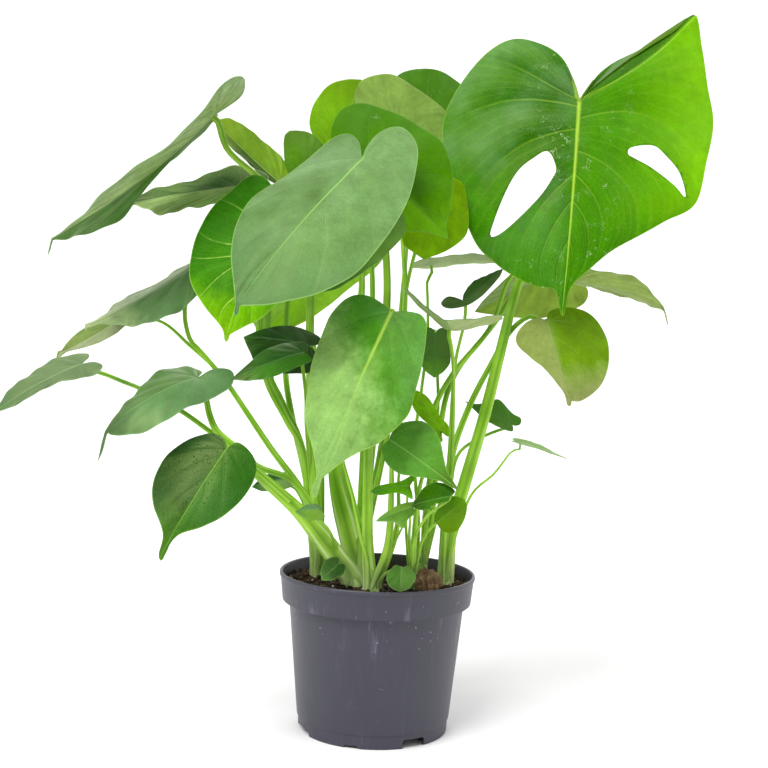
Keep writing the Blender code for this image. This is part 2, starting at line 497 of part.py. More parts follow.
def cut_holes(obj, row):
    """Cut the natural holes with flat prisms that stand square to the blade."""
    frame = blade_frame(row)
    x_dir, y_dir, z_dir, _ = frame
    deep = 45
    for side, outline in HOLES:
        ring = spline([(x, y, 0) for x, y in outline], 22, closed=True)[:-1]
        sign = 1 if side == 0 else -1
        flat = math.cos(math.radians(row["fold"][side]))
        work = bmesh.new()
        verts = []
        for p in ring:
            spot = row["base"] + x_dir * (sign * p.x * flat) + y_dir * p.y - z_dir * deep
            verts.append(work.verts.new(spot * MM))
        work.faces.new(verts)
        grown = bmesh.ops.extrude_face_region(work, geom=work.faces[:])
        moved = [g for g in grown["geom"] if isinstance(g, bmesh.types.BMVert)]
        bmesh.ops.translate(work, verts=moved, vec=z_dir * (2 * deep * MM))
        cutter = as_cutter(add_object("hole_cutter", mesh_from_bmesh("hole_cutter", work)))
        cut = obj.modifiers.new("Hole", "BOOLEAN")
        cut.operation = "DIFFERENCE"
        cut.solver = "MANIFOLD"
        cut.object = cutter
        apply_modifiers(obj)
        bpy.data.objects.remove(cutter, do_unlink=True)


# ---------------------------------------------------------------- stems
def tube(name, points, start, end, sides):
    """A tapering petiole along a smooth curve, closed at both ends."""
    curve = bpy.data.curves.new(name, "CURVE")
    curve.dimensions = "3D"
    curve.bevel_depth = MM
    curve.bevel_resolution = sides // 2 - 2
    curve.use_fill_caps = True
    line = curve.splines.new("POLY")
    line.points.add(len(points) - 1)
    last = len(points) - 1
    for i, (dot, p) in enumerate(zip(line.points, points)):
        share = i / last
        dot.co = (*(p * MM), 1.0)
        dot.radius = start + (end - start) * share * share * (3 - 2 * share)
    obj = add_object(name, curve)
    graph = bpy.context.evaluated_depsgraph_get()
    mesh = bpy.data.meshes.new_from_object(obj.evaluated_get(graph), depsgraph=graph)
    bpy.data.objects.remove(obj, do_unlink=True)
    bpy.data.curves.remove(curve)
    work = bmesh.new()
    work.from_mesh(mesh)
    bpy.data.meshes.remove(mesh)
    bmesh.ops.remove_doubles(work, verts=work.verts, dist=1e-6)
    return add_object(name, mesh_from_bmesh(name, work))


def petiole_points(entry, rows):
    clump, blade, start, end, joined, way = entry
    row = rows[blade]
    _, y_dir, z_dir, length = blade_frame(row)
    slope = row["bow"] / length
    up = (z_dir - y_dir * (2.6 * slope)).normalized()
    droop = max(0.0, *(-math.sin(math.radians(fold_at(row, side, 0))) for side in (0, 1)))
    seat = row["base"] - up * (BLADE + PETIOLE_GAP + (0.03 + 0.6 * droop + 1.4 * abs(slope)) * end)
    points = [Vector(p) for p in way]
    if not joined:
        x, y, _ = CLUMPS[clump]
        foot = Vector((x, y, FOOT_TOP))
        points.insert(0, foot)
    points += [seat - up * PETIOLE_RUN_IN, seat]
    steps = max(4, min(11, round(sum((q - p).length for p, q in zip(points, points[1:])) / 38) + 3))
    line = spline([tuple(p) for p in points[:-1]], steps)
    return line + [seat]


def make_clump(name, rows):
    x, y, radius = CLUMPS[name]
    low = SOIL_TOP - HOLE_DEPTH + HOLE_GAP
    work = bmesh.new()
    bmesh.ops.create_cone(work, cap_ends=True, segments=STUB_SIDES, radius1=radius * MM,
                          radius2=radius * 0.72 * MM, depth=(STUB_TOP - low) * MM)
    bmesh.ops.translate(work, verts=work.verts, vec=(x * MM, y * MM, (STUB_TOP + low) / 2 * MM))
    obj = add_object(name, mesh_from_bmesh(name, work))
    shoots = bpy.data.collections.new(name + "_shoots")
    bpy.context.scene.collection.children.link(shoots)
    runs = [(petiole_points(e, rows), e[2], e[3]) for e in PETIOLES if e[0] == name]
    for _, start, end, way in (e for e in YOUNG_SHOOTS if e[0] == name):
        runs.append((spline([(x, y, FOOT_TOP)] + way, len(way) + 2), start, end))
    for i, (line, start, end) in enumerate(runs):
        shoot = tube(name + "_shoot_" + str(i), line, start, end, 6)
        bpy.context.scene.collection.objects.unlink(shoot)
        shoots.objects.link(shoot)
    join = obj.modifiers.new("Grown together", "BOOLEAN")
    join.operation = "UNION"
    join.solver = "MANIFOLD"
    join.operand_type = "COLLECTION"
    join.collection = shoots
    apply_modifiers(obj)
    for shoot in list(shoots.objects):
        bpy.data.objects.remove(shoot, do_unlink=True)
    bpy.data.collections.remove(shoots)
    paint(obj, TONES["stem"], 0.4)
    return obj


# ---------------------------------------------------------------- pot and soil
def turned(name, profile, steps):
    """Revolve a profile of (radius, height) around the z axis."""
    mesh = bpy.data.meshes.new(name)
    work = bmesh.new()
    verts = [work.verts.new((r * MM, 0, z * MM)) for r, z in profile]
    for a, b in zip(verts, verts[1:]):
        work.edges.new((a, b))
    work.to_mesh(mesh)
    work.free()
    obj = add_object(name, mesh)
    turn = obj.modifiers.new("Turn", "SCREW")
    turn.steps = steps
    turn.render_steps = steps
    turn.use_merge_vertices = True
    turn.merge_threshold = 0.00001
    turn.use_normal_calculate = True
    apply_modifiers(obj)
    work = bmesh.new()
    work.from_mesh(obj.data)
    bmesh.ops.remove_doubles(work, verts=work.verts, dist=1e-6)
    obj.data = mesh_from_bmesh(name, work)
    return obj


def wall_radius(z):
    """Outer radius of the plain wall at height z."""
    top = POT_HEIGHT - BAND_HEIGHT
    return FOOT_RADIUS + (WALL_TOP_RADIUS - FOOT_RADIUS) * z / top


def make_pot():
    band_low = POT_HEIGHT - BAND_HEIGHT
    profile = [
        (0, FOOT_HEIGHT + FLOOR_THICKNESS),
        (wall_radius(FOOT_HEIGHT) - WALL, FOOT_HEIGHT + FLOOR_THICKNESS),
        (WALL_TOP_RADIUS - WALL, band_low - 1),
        (BAND_FOOT_RADIUS - WALL - 1, band_low + 3),
        (RIM_RADIUS - WALL - 0.6, POT_HEIGHT - 0.8),
        (RIM_RADIUS - WALL, POT_HEIGHT),
        (RIM_RADIUS - 0.5, POT_HEIGHT),
        (RIM_RADIUS, POT_HEIGHT - 0.8),
        (RIM_RADIUS, POT_HEIGHT - 3.5),
        (RIM_RADIUS - 0.9, POT_HEIGHT - 4.3),
        (BAND_FOOT_RADIUS, band_low + 0.6),
        (BAND_FOOT_RADIUS - 0.8, band_low),
        (WALL_TOP_RADIUS + 0.6, band_low - 0.4),
        (WALL_TOP_RADIUS, band_low - 1.2),
        (wall_radius(FOOT_HEIGHT + 3) + 0.3, FOOT_HEIGHT + 3),
        (wall_radius(FOOT_HEIGHT + 2) - 0.6, FOOT_HEIGHT + 2),
        (FOOT_RADIUS, 0.6),
        (FOOT_RADIUS - 0.6, 0),
        (FOOT_RADIUS - 2.6, 0),
        (FOOT_RADIUS - 3.4, FOOT_HEIGHT),
        (0, FOOT_HEIGHT),
    ]
    obj = turned("pot", profile, POT_STEPS)
    for centre, width, deep in NOTCHES:
        half = FOOT_RADIUS * math.tan(math.radians(width / 2))
        work = bmesh.new()
        bmesh.ops.create_cube(work, size=1.0)
        for vert in work.verts:
            vert.co = Vector((vert.co.x * 2 * half, vert.co.y * 16, (vert.co.z + 0.5) * (deep + 3) - 3))
            vert.co += Vector((0, -FOOT_RADIUS, 0))
        bmesh.ops.rotate(work, verts=work.verts, cent=(0, 0, 0),
                         matrix=Matrix.Rotation(math.radians(centre), 3, "Z"))
        bmesh.ops.scale(work, verts=work.verts, vec=(MM, MM, MM))
        cutter = as_cutter(add_object("notch_cutter", mesh_from_bmesh("notch_cutter", work)))
        cut = obj.modifiers.new("Notch", "BOOLEAN")
        cut.operation = "DIFFERENCE"
        cut.solver = "MANIFOLD"
        cut.object = cutter
        apply_modifiers(obj)
        bpy.data.objects.remove(cutter, do_unlink=True)
    paint(obj, (0.09, 0.085, 0.11), 0.4)
    return obj


def make_soil():
    band_low = POT_HEIGHT - BAND_HEIGHT
    floor = FOOT_HEIGHT + FLOOR_THICKNESS + SOIL_GAP
    side = WALL + SOIL_GAP
    slope_top = (SOIL_TOP - 1.5 - (band_low + 3)) / (BAND_HEIGHT - 3.8)
    edge = BAND_FOOT_RADIUS - 1 + (RIM_RADIUS - 0.6 - BAND_FOOT_RADIUS + 1) * slope_top - side
    profile = [(0, SOIL_TOP), (22, SOIL_TOP), (44, SOIL_TOP), (64, SOIL_TOP), (edge - 2, SOIL_TOP),
               (edge, SOIL_TOP - 1.5), (BAND_FOOT_RADIUS - 1 - side, band_low + 3.3),
               (WALL_TOP_RADIUS - side, band_low - 1),
               (wall_radius(FOOT_HEIGHT) - side, floor), (0, floor)]
    obj = turned("soil", profile, POT_STEPS)
    dice = random.Random(7)
    for vert in obj.data.vertices:
        if vert.co.z > (SOIL_TOP - 1) * MM and vert.co.xy.length < (edge - 3) * MM:
            vert.co.z += dice.uniform(-0.4, 1.0) * SOIL_LUMP * MM
    for x, y, radius in CLUMPS.values():
        work = bmesh.new()
        hole = (radius + HOLE_GAP) * MM
        bmesh.ops.create_cone(work, cap_ends=True, segments=STUB_SIDES, radius1=hole, radius2=hole,
                              depth=(HOLE_DEPTH + 20) * MM)
        bmesh.ops.translate(work, verts=work.verts,
                            vec=(x * MM, y * MM, (SOIL_TOP - HOLE_DEPTH + (HOLE_DEPTH + 20) / 2) * MM))
        cutter = as_cutter(add_object("stem_hole", mesh_from_bmesh("stem_hole", work)))
        cut = obj.modifiers.new("Stem hole", "BOOLEAN")
        cut.operation = "DIFFERENCE"
        cut.solver = "MANIFOLD"
        cut.object = cutter
        apply_modifiers(obj)
        bpy.data.objects.remove(cutter, do_unlink=True)
    paint(obj, (0.02, 0.014, 0.01), 0.9)
    return obj


def make_lump(name, centre, size, turn, seed, colour):
    """A dry stub or a chunk of bark: a small dented ball pressed to a long shape."""
    dice = random.Random(seed)
    work = bmesh.new()
    bmesh.ops.create_icosphere(work, subdivisions=2, radius=1.0)
    for vert in work.verts:
        vert.co *= 1 + dice.uniform(-0.16, 0.16)
        vert.co = Vector((vert.co.x * size[0], vert.co.y * size[1], vert.co.z * size[2])) * (MM / 2)
    bmesh.ops.rotate(work, verts=work.verts, cent=(0, 0, 0),
                     matrix=Matrix.Rotation(math.radians(turn), 3, "Z"))
    bmesh.ops.translate(work, verts=work.verts, vec=Vector(centre) * MM)
    obj = add_object(name, mesh_from_bmesh(name, work))
    paint(obj, colour, 0.9)
    return obj


def main():
    clear_scene()
    make_pot()
    make_soil()
    rows = {row["name"]: row for row in LEAVES}
    for row in LEAVES:
        blade = make_blade(row)
        if row["name"] == "leaf_01":
            apply_modifiers(blade)
            cut_holes(blade, row)
    for name in CLUMPS:
        make_clump(name, rows)
    make_lump("dry_stub", (43, -42, 137.2), (20, 15, 20), 20, 3, (0.16, 0.09, 0.05))
    make_lump("bark_chunk", (-14, -68, 131.4), (16, 9, 6), 15, 5, (0.06, 0.03, 0.02))


main()
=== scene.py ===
"""Potted swiss cheese plant: the looks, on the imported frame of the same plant.

Sizes below are in millimetres, in the frame of the part: the pot stands on z = 0 with its axis on
x = y = 0, and the seen side faces -y. Meshes are made in metres.
"""

import json
import math
import random
from functools import partial

import bmesh
import bpy
from mathutils import Matrix, Vector, noise

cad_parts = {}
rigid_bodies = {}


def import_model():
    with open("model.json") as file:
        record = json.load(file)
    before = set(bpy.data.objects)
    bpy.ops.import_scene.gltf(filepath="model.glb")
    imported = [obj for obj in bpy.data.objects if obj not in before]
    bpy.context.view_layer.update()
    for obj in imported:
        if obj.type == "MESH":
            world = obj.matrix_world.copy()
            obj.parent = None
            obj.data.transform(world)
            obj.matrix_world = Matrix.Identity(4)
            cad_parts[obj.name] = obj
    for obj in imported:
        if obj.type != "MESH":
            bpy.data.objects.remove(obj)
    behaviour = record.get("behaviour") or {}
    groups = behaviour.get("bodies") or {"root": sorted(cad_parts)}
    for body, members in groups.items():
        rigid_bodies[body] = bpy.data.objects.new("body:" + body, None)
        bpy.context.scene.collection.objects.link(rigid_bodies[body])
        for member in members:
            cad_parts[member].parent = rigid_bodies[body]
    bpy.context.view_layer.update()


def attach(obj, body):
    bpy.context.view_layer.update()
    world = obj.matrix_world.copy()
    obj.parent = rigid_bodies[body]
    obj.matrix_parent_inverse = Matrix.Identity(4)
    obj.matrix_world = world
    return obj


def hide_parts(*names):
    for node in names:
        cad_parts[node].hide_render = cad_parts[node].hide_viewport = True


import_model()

MM = 0.001

# camera, read off the photograph: its place in metres, its lens in mm for a 36 mm sensor
EYE = (0.0, -1.150, 0.373)
PITCH = math.radians(3.6)
ROLL = math.radians(2.0)
LENS = 62.48

# pot, in mm
POT_HEIGHT = 137.0
RIM_RADIUS = 85.0
BAND_HEIGHT = 25.0
BAND_FOOT_RADIUS = 82.0
WALL_TOP_RADIUS = 76.0
FOOT_RADIUS = 65.0
WALL = 2.0
FOOT_HEIGHT = 9.0
FLOOR_THICKNESS = 2.5
POT_STEPS = 160
# centre angle from the front and width in degrees, and depth, of each notch in the foot
NOTCHES = ((-72, 32, 5.0), (-15, 12, 2.5), (33, 19, 7.5), (108, 32, 5.0), (165, 12, 2.5), (213, 19, 7.5))

# soil, in mm
SOIL_TOP = 127.0
SOIL_GAP = 0.35  # between the soil and the wall
FIBRES = 90

# blades and petioles, in mm
BLADE = 0.8  # thickness of the CAD blade
BLADE_SHARE = 0.75  # share of it that the quilted blade here is thick
BLADE_SMOOTHING = 50  # degrees
MIDRIB_SOFTNESS = 5.0  # how far the fold along the midrib is rounded
VEIN_ARCH = 0.05  # bend of the side veins as a share of their length
PETIOLE_RUN_IN = 7.0  # last straight part under the blade
SIDES = 14  # points around a petiole
# steps of a blade's grid along its outline and from the midrib to the margin
LARGEST, BIG, MEDIUM, SMALL = (170, 26), (110, 18), (72, 12), (44, 8)


def spots(text):
    """Points written as "x,y x,y", or the half as it stands where four numbers describe it."""
    if not isinstance(text, str):
        return text
    return [tuple(int(part) for part in spot.split(",")) for spot in text.split()]


def blade(base, tip, face, left, right, fold=(0, 0), bow=0, curl=0, drip=0, fine=(56, 8)):
    """One blade: where it joins its petiole, its tip, the way its top faces and both half outlines.

    A half is (half width, lobe length, share of the length where it is widest, fullness) or a row of
    outline points "across,along" from the petiole to the tip. fold tilts the halves up in degrees, and a
    pair of angles twists a half from petiole to tip. A drip tip hangs on by its length in mm.
    """
    return dict(base=Vector(base), tip=Vector(tip), face=Vector(face), halves=(spots(left), spots(right)),
                fold=fold, bow=bow, curl=curl, drip=drip, fine=fine)


BLADES = {
    "leaf_01": blade((165, 50, 556), (151, -5, 371), (0, -1, 0.3), "6,-5 9,-24 17,-41 34,-54 61,-61 83,-50 "
        "104,-23 118,9 120,38 114,65 103,94 82,138 64,155 44,168 24,176 9,178", "6,-9 12,-23 19,-39 33,-54 "
        "54,-68 84,-88 105,-112 114,-79 121,-42 128,-5 122,37 113,80 86,101 64,118 39,137 20,157 5,175",
        fold=(-10, -10), bow=8, curl=6, drip=6, fine=LARGEST),
    "leaf_02": blade((-24, -70, 485), (-112, -150, 367), (-0.1, -0.8, 0.6), "14,-16 30,-22 40,-8 45,35 52,62 "
        "54,85 47,109 35,130 12,156", "-5,-14 -6,-30 -1,-43 8,-49 22,-44 34,-30 48,0 57,27 61,63 59,99 "
        "48,128 29,151 10,164", fold=(-6, -4), bow=8, curl=6, drip=10, fine=BIG),
    "leaf_03": blade((-16, -30, 485), (49, -45, 425), (-0.05, -0.85, 0.4),
        "12,-2 28,4 36,23 34,44 23,60 8,76", "-2,-20 -10,-33 -6,-44 7,-52 20,-54 35,-47 45,-32 53,-14 57,7 "
        "57,28 42,53 21,71 7,80", bow=5, curl=5, fine=BIG),
    "leaf_04": blade((38, 15, 468), (31, 5, 409), (0.1, -0.9, -0.2), (24, 14, 0.55, 0.35),
        (34, 16, 0.45, 0.05), bow=4, curl=4),
    "leaf_05": blade((-51, 125, 514), (-32, 117, 579), (0, -0.9, 0.3), "13,2 25,16 28,38 20,57 10,66",
        "12,-3 23,1 33,12 36,28 33,42 26,55 13,64", bow=4, curl=4),
    "leaf_06": blade((3, 104, 538), (77, 99, 494), (0.2, 0.8, 0.6), "-8,-16 -10,-34 0,-45 17,-47 31,-39 "
        "43,-24 44,-4 42,16 38,37 22,64", "14,-6 32,-2 40,18 28,55", bow=4, curl=4, fine=MEDIUM),
    "leaf_07": blade((35, 135, 553), (97, 150, 507), (0, -0.9, 0.4), "17,0 35,9 40,33 22,63",
        "-12,-14 -10,-34 3,-45 18,-42 37,-25 46,-3 42,26 22,58", bow=4, curl=4, fine=MEDIUM),
    "leaf_08": blade((-68, 5, 481), (-88, -5, 514), (0, -0.9, 0.4), "11,0 19,9 19,19 15,29 7,36",
        "10,-2 18,5 18,17 12,30 6,38", bow=3, curl=3),
    "leaf_09": blade((-99, 42, 474), (-158, 46, 527), (0.2, -0.85, 0.3),
        "12,-2 19,12 21,25 20,40 17,58 12,73", "16,4 20,20 24,35 25,49 15,66", fold=(4, 58), bow=-3, curl=2,
        fine=MEDIUM),
    "leaf_10": blade((-152, -15, 522), (-275, -60, 414), (-0.53, 0.05, 0.83), "12,-8 24,0 28,26 28,60 33,92 "
        "38,118 31,142 10,163", "-2,-11 0,-23 8,-31 26,-33 46,-29 58,-21 62,-10 60,6 57,34 48,75 30,124 "
        "9,156", fold=((8, -24), 0), bow=-5, drip=14, fine=BIG),
    "leaf_11": blade((-130, 10, 467), (-236, 14, 447), (0, 0, 1), "3,-11 10,-25 18,-17 25,-1 26,12 23,28 "
        "18,43 14,61 13,83 7,99", "11,7 16,17 21,31 24,45 24,58 21,71 14,84 6,98", fold=(58, -60), bow=2,
        fine=MEDIUM),
    "leaf_12": blade((-104, -44, 422), (-128, -78, 341), (-0.1, -0.85, 0.4), "3,-28 12,-51 26,-57 36,-50 "
        "44,-33 52,-17 56,2 54,30 45,54 27,72 8,85", "4,-10 14,-22 28,-20 37,-6 38,18 36,43 26,67 5,88",
        bow=5, curl=5, drip=6, fine=BIG),
    "leaf_13": blade((-36, 75, 431), (-112, 55, 339), (0, 0.9, -0.3), "4,-12 18,-18 33,-14 39,-2 38,16 33,35 "
        "29,61 23,85 10,112", "14,-2 31,10 39,39 38,75 31,106 12,119", bow=4, curl=4, fine=MEDIUM),
    "leaf_14": blade((-63, -62, 334), (-114, -80, 340), (0, -0.8, 0.5), (17, 12, 0.15, 0.0),
        (29, 8, 0.5, 0.35), bow=3, curl=3),
    "leaf_15": blade((-65, -98, 329), (-119, -118, 308), (0, -0.7, 0.7), (18, 7, 0.2, -0.15),
        (12, 4, 0.55, 0.07), bow=3, curl=3, fine=MEDIUM),
    "leaf_16": blade((-155, -45, 303), (-222, -85, 260), (0, -0.48, 0.88), "6,-8 20,-9 32,-4 36,12 30,33 "
        "18,54 6,76", "-2,-15 4,-24 13,-27 21,-20 25,-6 28,12 30,35 28,58 17,79 6,88", fold=(-14, -14),
        bow=8, drip=24, fine=MEDIUM),
    "leaf_17": blade((-125, -75, 249), (-171, -110, 167), (-0.1, -0.85, 0.4), "9,-6 21,-5 33,6 41,23 42,42 "
        "37,58 27,70 8,85", "4,-8 16,-7 27,0 32,12 33,28 29,48 19,65 4,82", fold=(-5, -5), bow=5, curl=4,
        drip=5, fine=MEDIUM),
    "leaf_18": blade((-236, -115, 315), (-296, -140, 278), (0, -0.5, 0.85), "4,-8 12,-10 19,-2 22,12 20,32 "
        "15,50 8,64", "4,-10 12,-13 17,-5 15,8 9,22 9,38 9,54 5,66", fold=(-8, -10), bow=4, fine=MEDIUM),
    "leaf_19": blade((-233, 0, 346), (-276, -20, 318), (0, 0.9, -0.3), (9, 10, 0.1, 0.0),
        (10, 10, 0.5, 0.05), bow=3, drip=12),
    "leaf_20": blade((-165, 5, 400), (-253, -25, 343), (0, -0.5, 0.85), "9,-8 20,0 24,22 22,52 14,80 5,96",
        "9,-3 24,7 32,22 38,42 36,58 25,75 10,95", fold=((-34, -16), -10), bow=-3, drip=4, fine=MEDIUM),
    "leaf_21": blade((4, -95, 364), (-49, -150, 230), (-0.05, -0.9, 0.35), "4,-2 11,-5 19,-7 27,-7 35,-4 "
        "41,3 45,18 45,32 44,49 42,65 37,81 33,95 28,108 21,118 14,127 7,138 3,146",
        "5,-2 10,-5 17,-7 23,-7 29,-2 33,9 37,24 40,39 42,56 44,71 42,82 37,95 30,108 21,117 13,127 6,139 "
        "2,147", fold=(-4, -4), bow=8, curl=6, drip=8, fine=BIG),
    "leaf_22": blade((6, -100, 263), (62, -118, 227), (0.1, -0.85, 0.4), "4,-1 8,-1 12,2 16,7 18,14 18,23 "
        "14,33 9,42 4,52 2,61", "4,-2 14,-3 20,0 26,5 30,12 29,22 23,33 14,43 7,51 3,60", bow=3, curl=3,
        fine=MEDIUM),
    "leaf_23": blade((23, -98, 226), (-8, -104, 222), (0, -0.6, 0.7), "14,-9 9,0 5,8 4,19 3,27",
        "13,0 9,6 6,13 6,25", bow=2, fine=SMALL),
    "leaf_24": blade((26, -98, 210), (-3, -108, 199), (0, -0.8, 0.5), "3,-4 5,6 4,17 2,27",
        "6,0 9,8 15,16 8,19 3,27", bow=2, fine=SMALL),
    "leaf_25": blade((55, -118, 222), (24, -126, 215), (0, -0.8, 0.5), "4,-5 11,1 14,9 12,18 6,26",
        "4,4 4,14 7,22 4,29", bow=2, fine=SMALL),
    "leaf_26": blade((46, -95, 197), (67, -103, 218), (0.1, -0.9, 0.3), "6,-1 13,3 15,10 12,20 6,28",
        "5,1 8,8 10,16 9,23 5,28", bow=2, curl=2, fine=SMALL),
    "leaf_27": blade((-35, -45, 149), (-46, -55, 139), (0, -0.8, 0.5), (10, 8, 0.06, 0.17),
        (9, 7, 0.0, 0.3), bow=1, fine=SMALL),
    "leaf_28": blade((20, -66, 154), (19, -74, 136), (0, -0.9, 0.4), "5,-2 10,3 12,10 9,16 4,19",
        "5,-2 10,2 12,8 9,14 5,18", bow=1, curl=1, fine=SMALL),
    "leaf_29": blade((-82, 20, 213), (-112, 5, 207), (0, -0.6, 0.7), (9, 5, 0.4, 0.0), (12, 6, 0.45, 0.2),
        bow=1, fine=SMALL),
    "leaf_30": blade((-51, -56, 198), (-69, -66, 198), (0, -0.6, 0.7), (7, 5, 0.1, -0.1),
        (12, 4, 0.5, 0.04), bow=1, fine=SMALL),
    "leaf_31": blade((117, 54, 264), (74, 48, 285), (0, -0.8, 0.5), "4,-7 11,-6 11,3 14,13 16,21 9,29 2,38",
        "5,-3 8,7 9,23 5,36", bow=2, fine=SMALL),
    "leaf_32": blade((119, -10, 255), (159, -20, 244), (-0.3, -0.2, 0.9), (5, 8, 0.12, -0.08),
        (6, 8, 0.1, -0.1), fold=(30, 30), bow=1, fine=SMALL),
    "leaf_33": blade((141, 25, 360), (161, 0, 291), (0.1, -0.9, 0.3), "6,-4 17,-3 28,5 31,15 23,30 15,42 "
        "8,56 3,68", "4,-7 13,-10 26,-9 41,-2 50,15 51,33 44,52 31,68 12,77", fold=(-8, -8), bow=3, curl=2,
        drip=4, fine=MEDIUM),
    "leaf_34": blade((168, 70, 396), (248, 45, 375), (0.2, 0.6, 0.8), "9,-6 18,4 20,19 23,38 22,56 12,75",
        "3,-2 5,10 6,25 8,41 9,57 5,76", bow=6, drip=16, fine=MEDIUM),
    "leaf_35": blade((158, 110, 405), (82, 100, 365), (0, 0.9, 0.3),
        "12,-12 28,-22 40,-12 38,20 26,48 9,74", "14,3 21,24 15,48 6,74", bow=3, curl=3, fine=MEDIUM),
    "leaf_36": blade((68, 30, 375), (104, 60, 406), (-0.4, -0.6, 0.6), "-11,1 -20,-1 -18,-11 -9,-15 2,-11 "
        "9,0 10,17 6,42", "6,6 12,22 9,38 4,49"),
    "leaf_37": blade((39, 60, 406), (114, 85, 412), (0, -0.1, 1), (26, 22, 0.2, 0.0), (24, 16, 0.2, 0.0),
        fold=(28, -15), bow=2, fine=MEDIUM),
    "leaf_38": blade((54, -15, 350), (48, -85, 360), (0, 0, 1), (52, 16, 0.15, -0.2), (46, 18, 0.2, -0.15),
        fold=(42, 15), fine=MEDIUM),
    "leaf_39": blade((45, 55, 345), (45, 45, 305), (0, -0.9, 0.2), (14, 5, 0.6, 0.1), (14, 5, 0.6, 0.1),
        bow=2, fine=SMALL),
    "leaf_40": blade((49, -40, 265), (27, -35, 299), (0.1, -0.9, 0.2), "3,-7 7,-2 8,3 6,11 6,21 5,32",
        "3,-8 6,-3 6,9 9,19 10,29 6,37", bow=1, fine=SMALL),
    "leaf_41": blade((-15, -55, 463), (-72, -101, 375), (-0.1, -0.8, 0.6), "4,-3 7,15 9,52 8,83 4,108",
        "8,-9 27,2 43,18 46,30 44,47 40,67 28,93 9,110", bow=5, curl=5, fine=MEDIUM),
}

# the two natural holes of the largest blade, in its left half and its right half
HOLES = ("25,53 17,68 19,78 31,99 55,127 68,134 66,118 58,91 49,72 37,60",
         "47,46 50,39 70,33 82,40 96,54 103,76 91,67 69,55 53,49")

# clump: x, y and radius of the short stub that stands in the soil
CLUMPS = {
    "stem_right": (56, -4, 10),
    "stem_back": (38, 34, 8),
    "stem_centre": (-14, 8, 11),
    "stem_front": (-4, -42, 9),
    "stem_left": (-52, 12, 9),
    "stem_low": (-21, -28, 9),
    "stem_small": (29, -30, 5.5),
}
STUB_TOP = 138.0
FOOT_TOP = 132.0

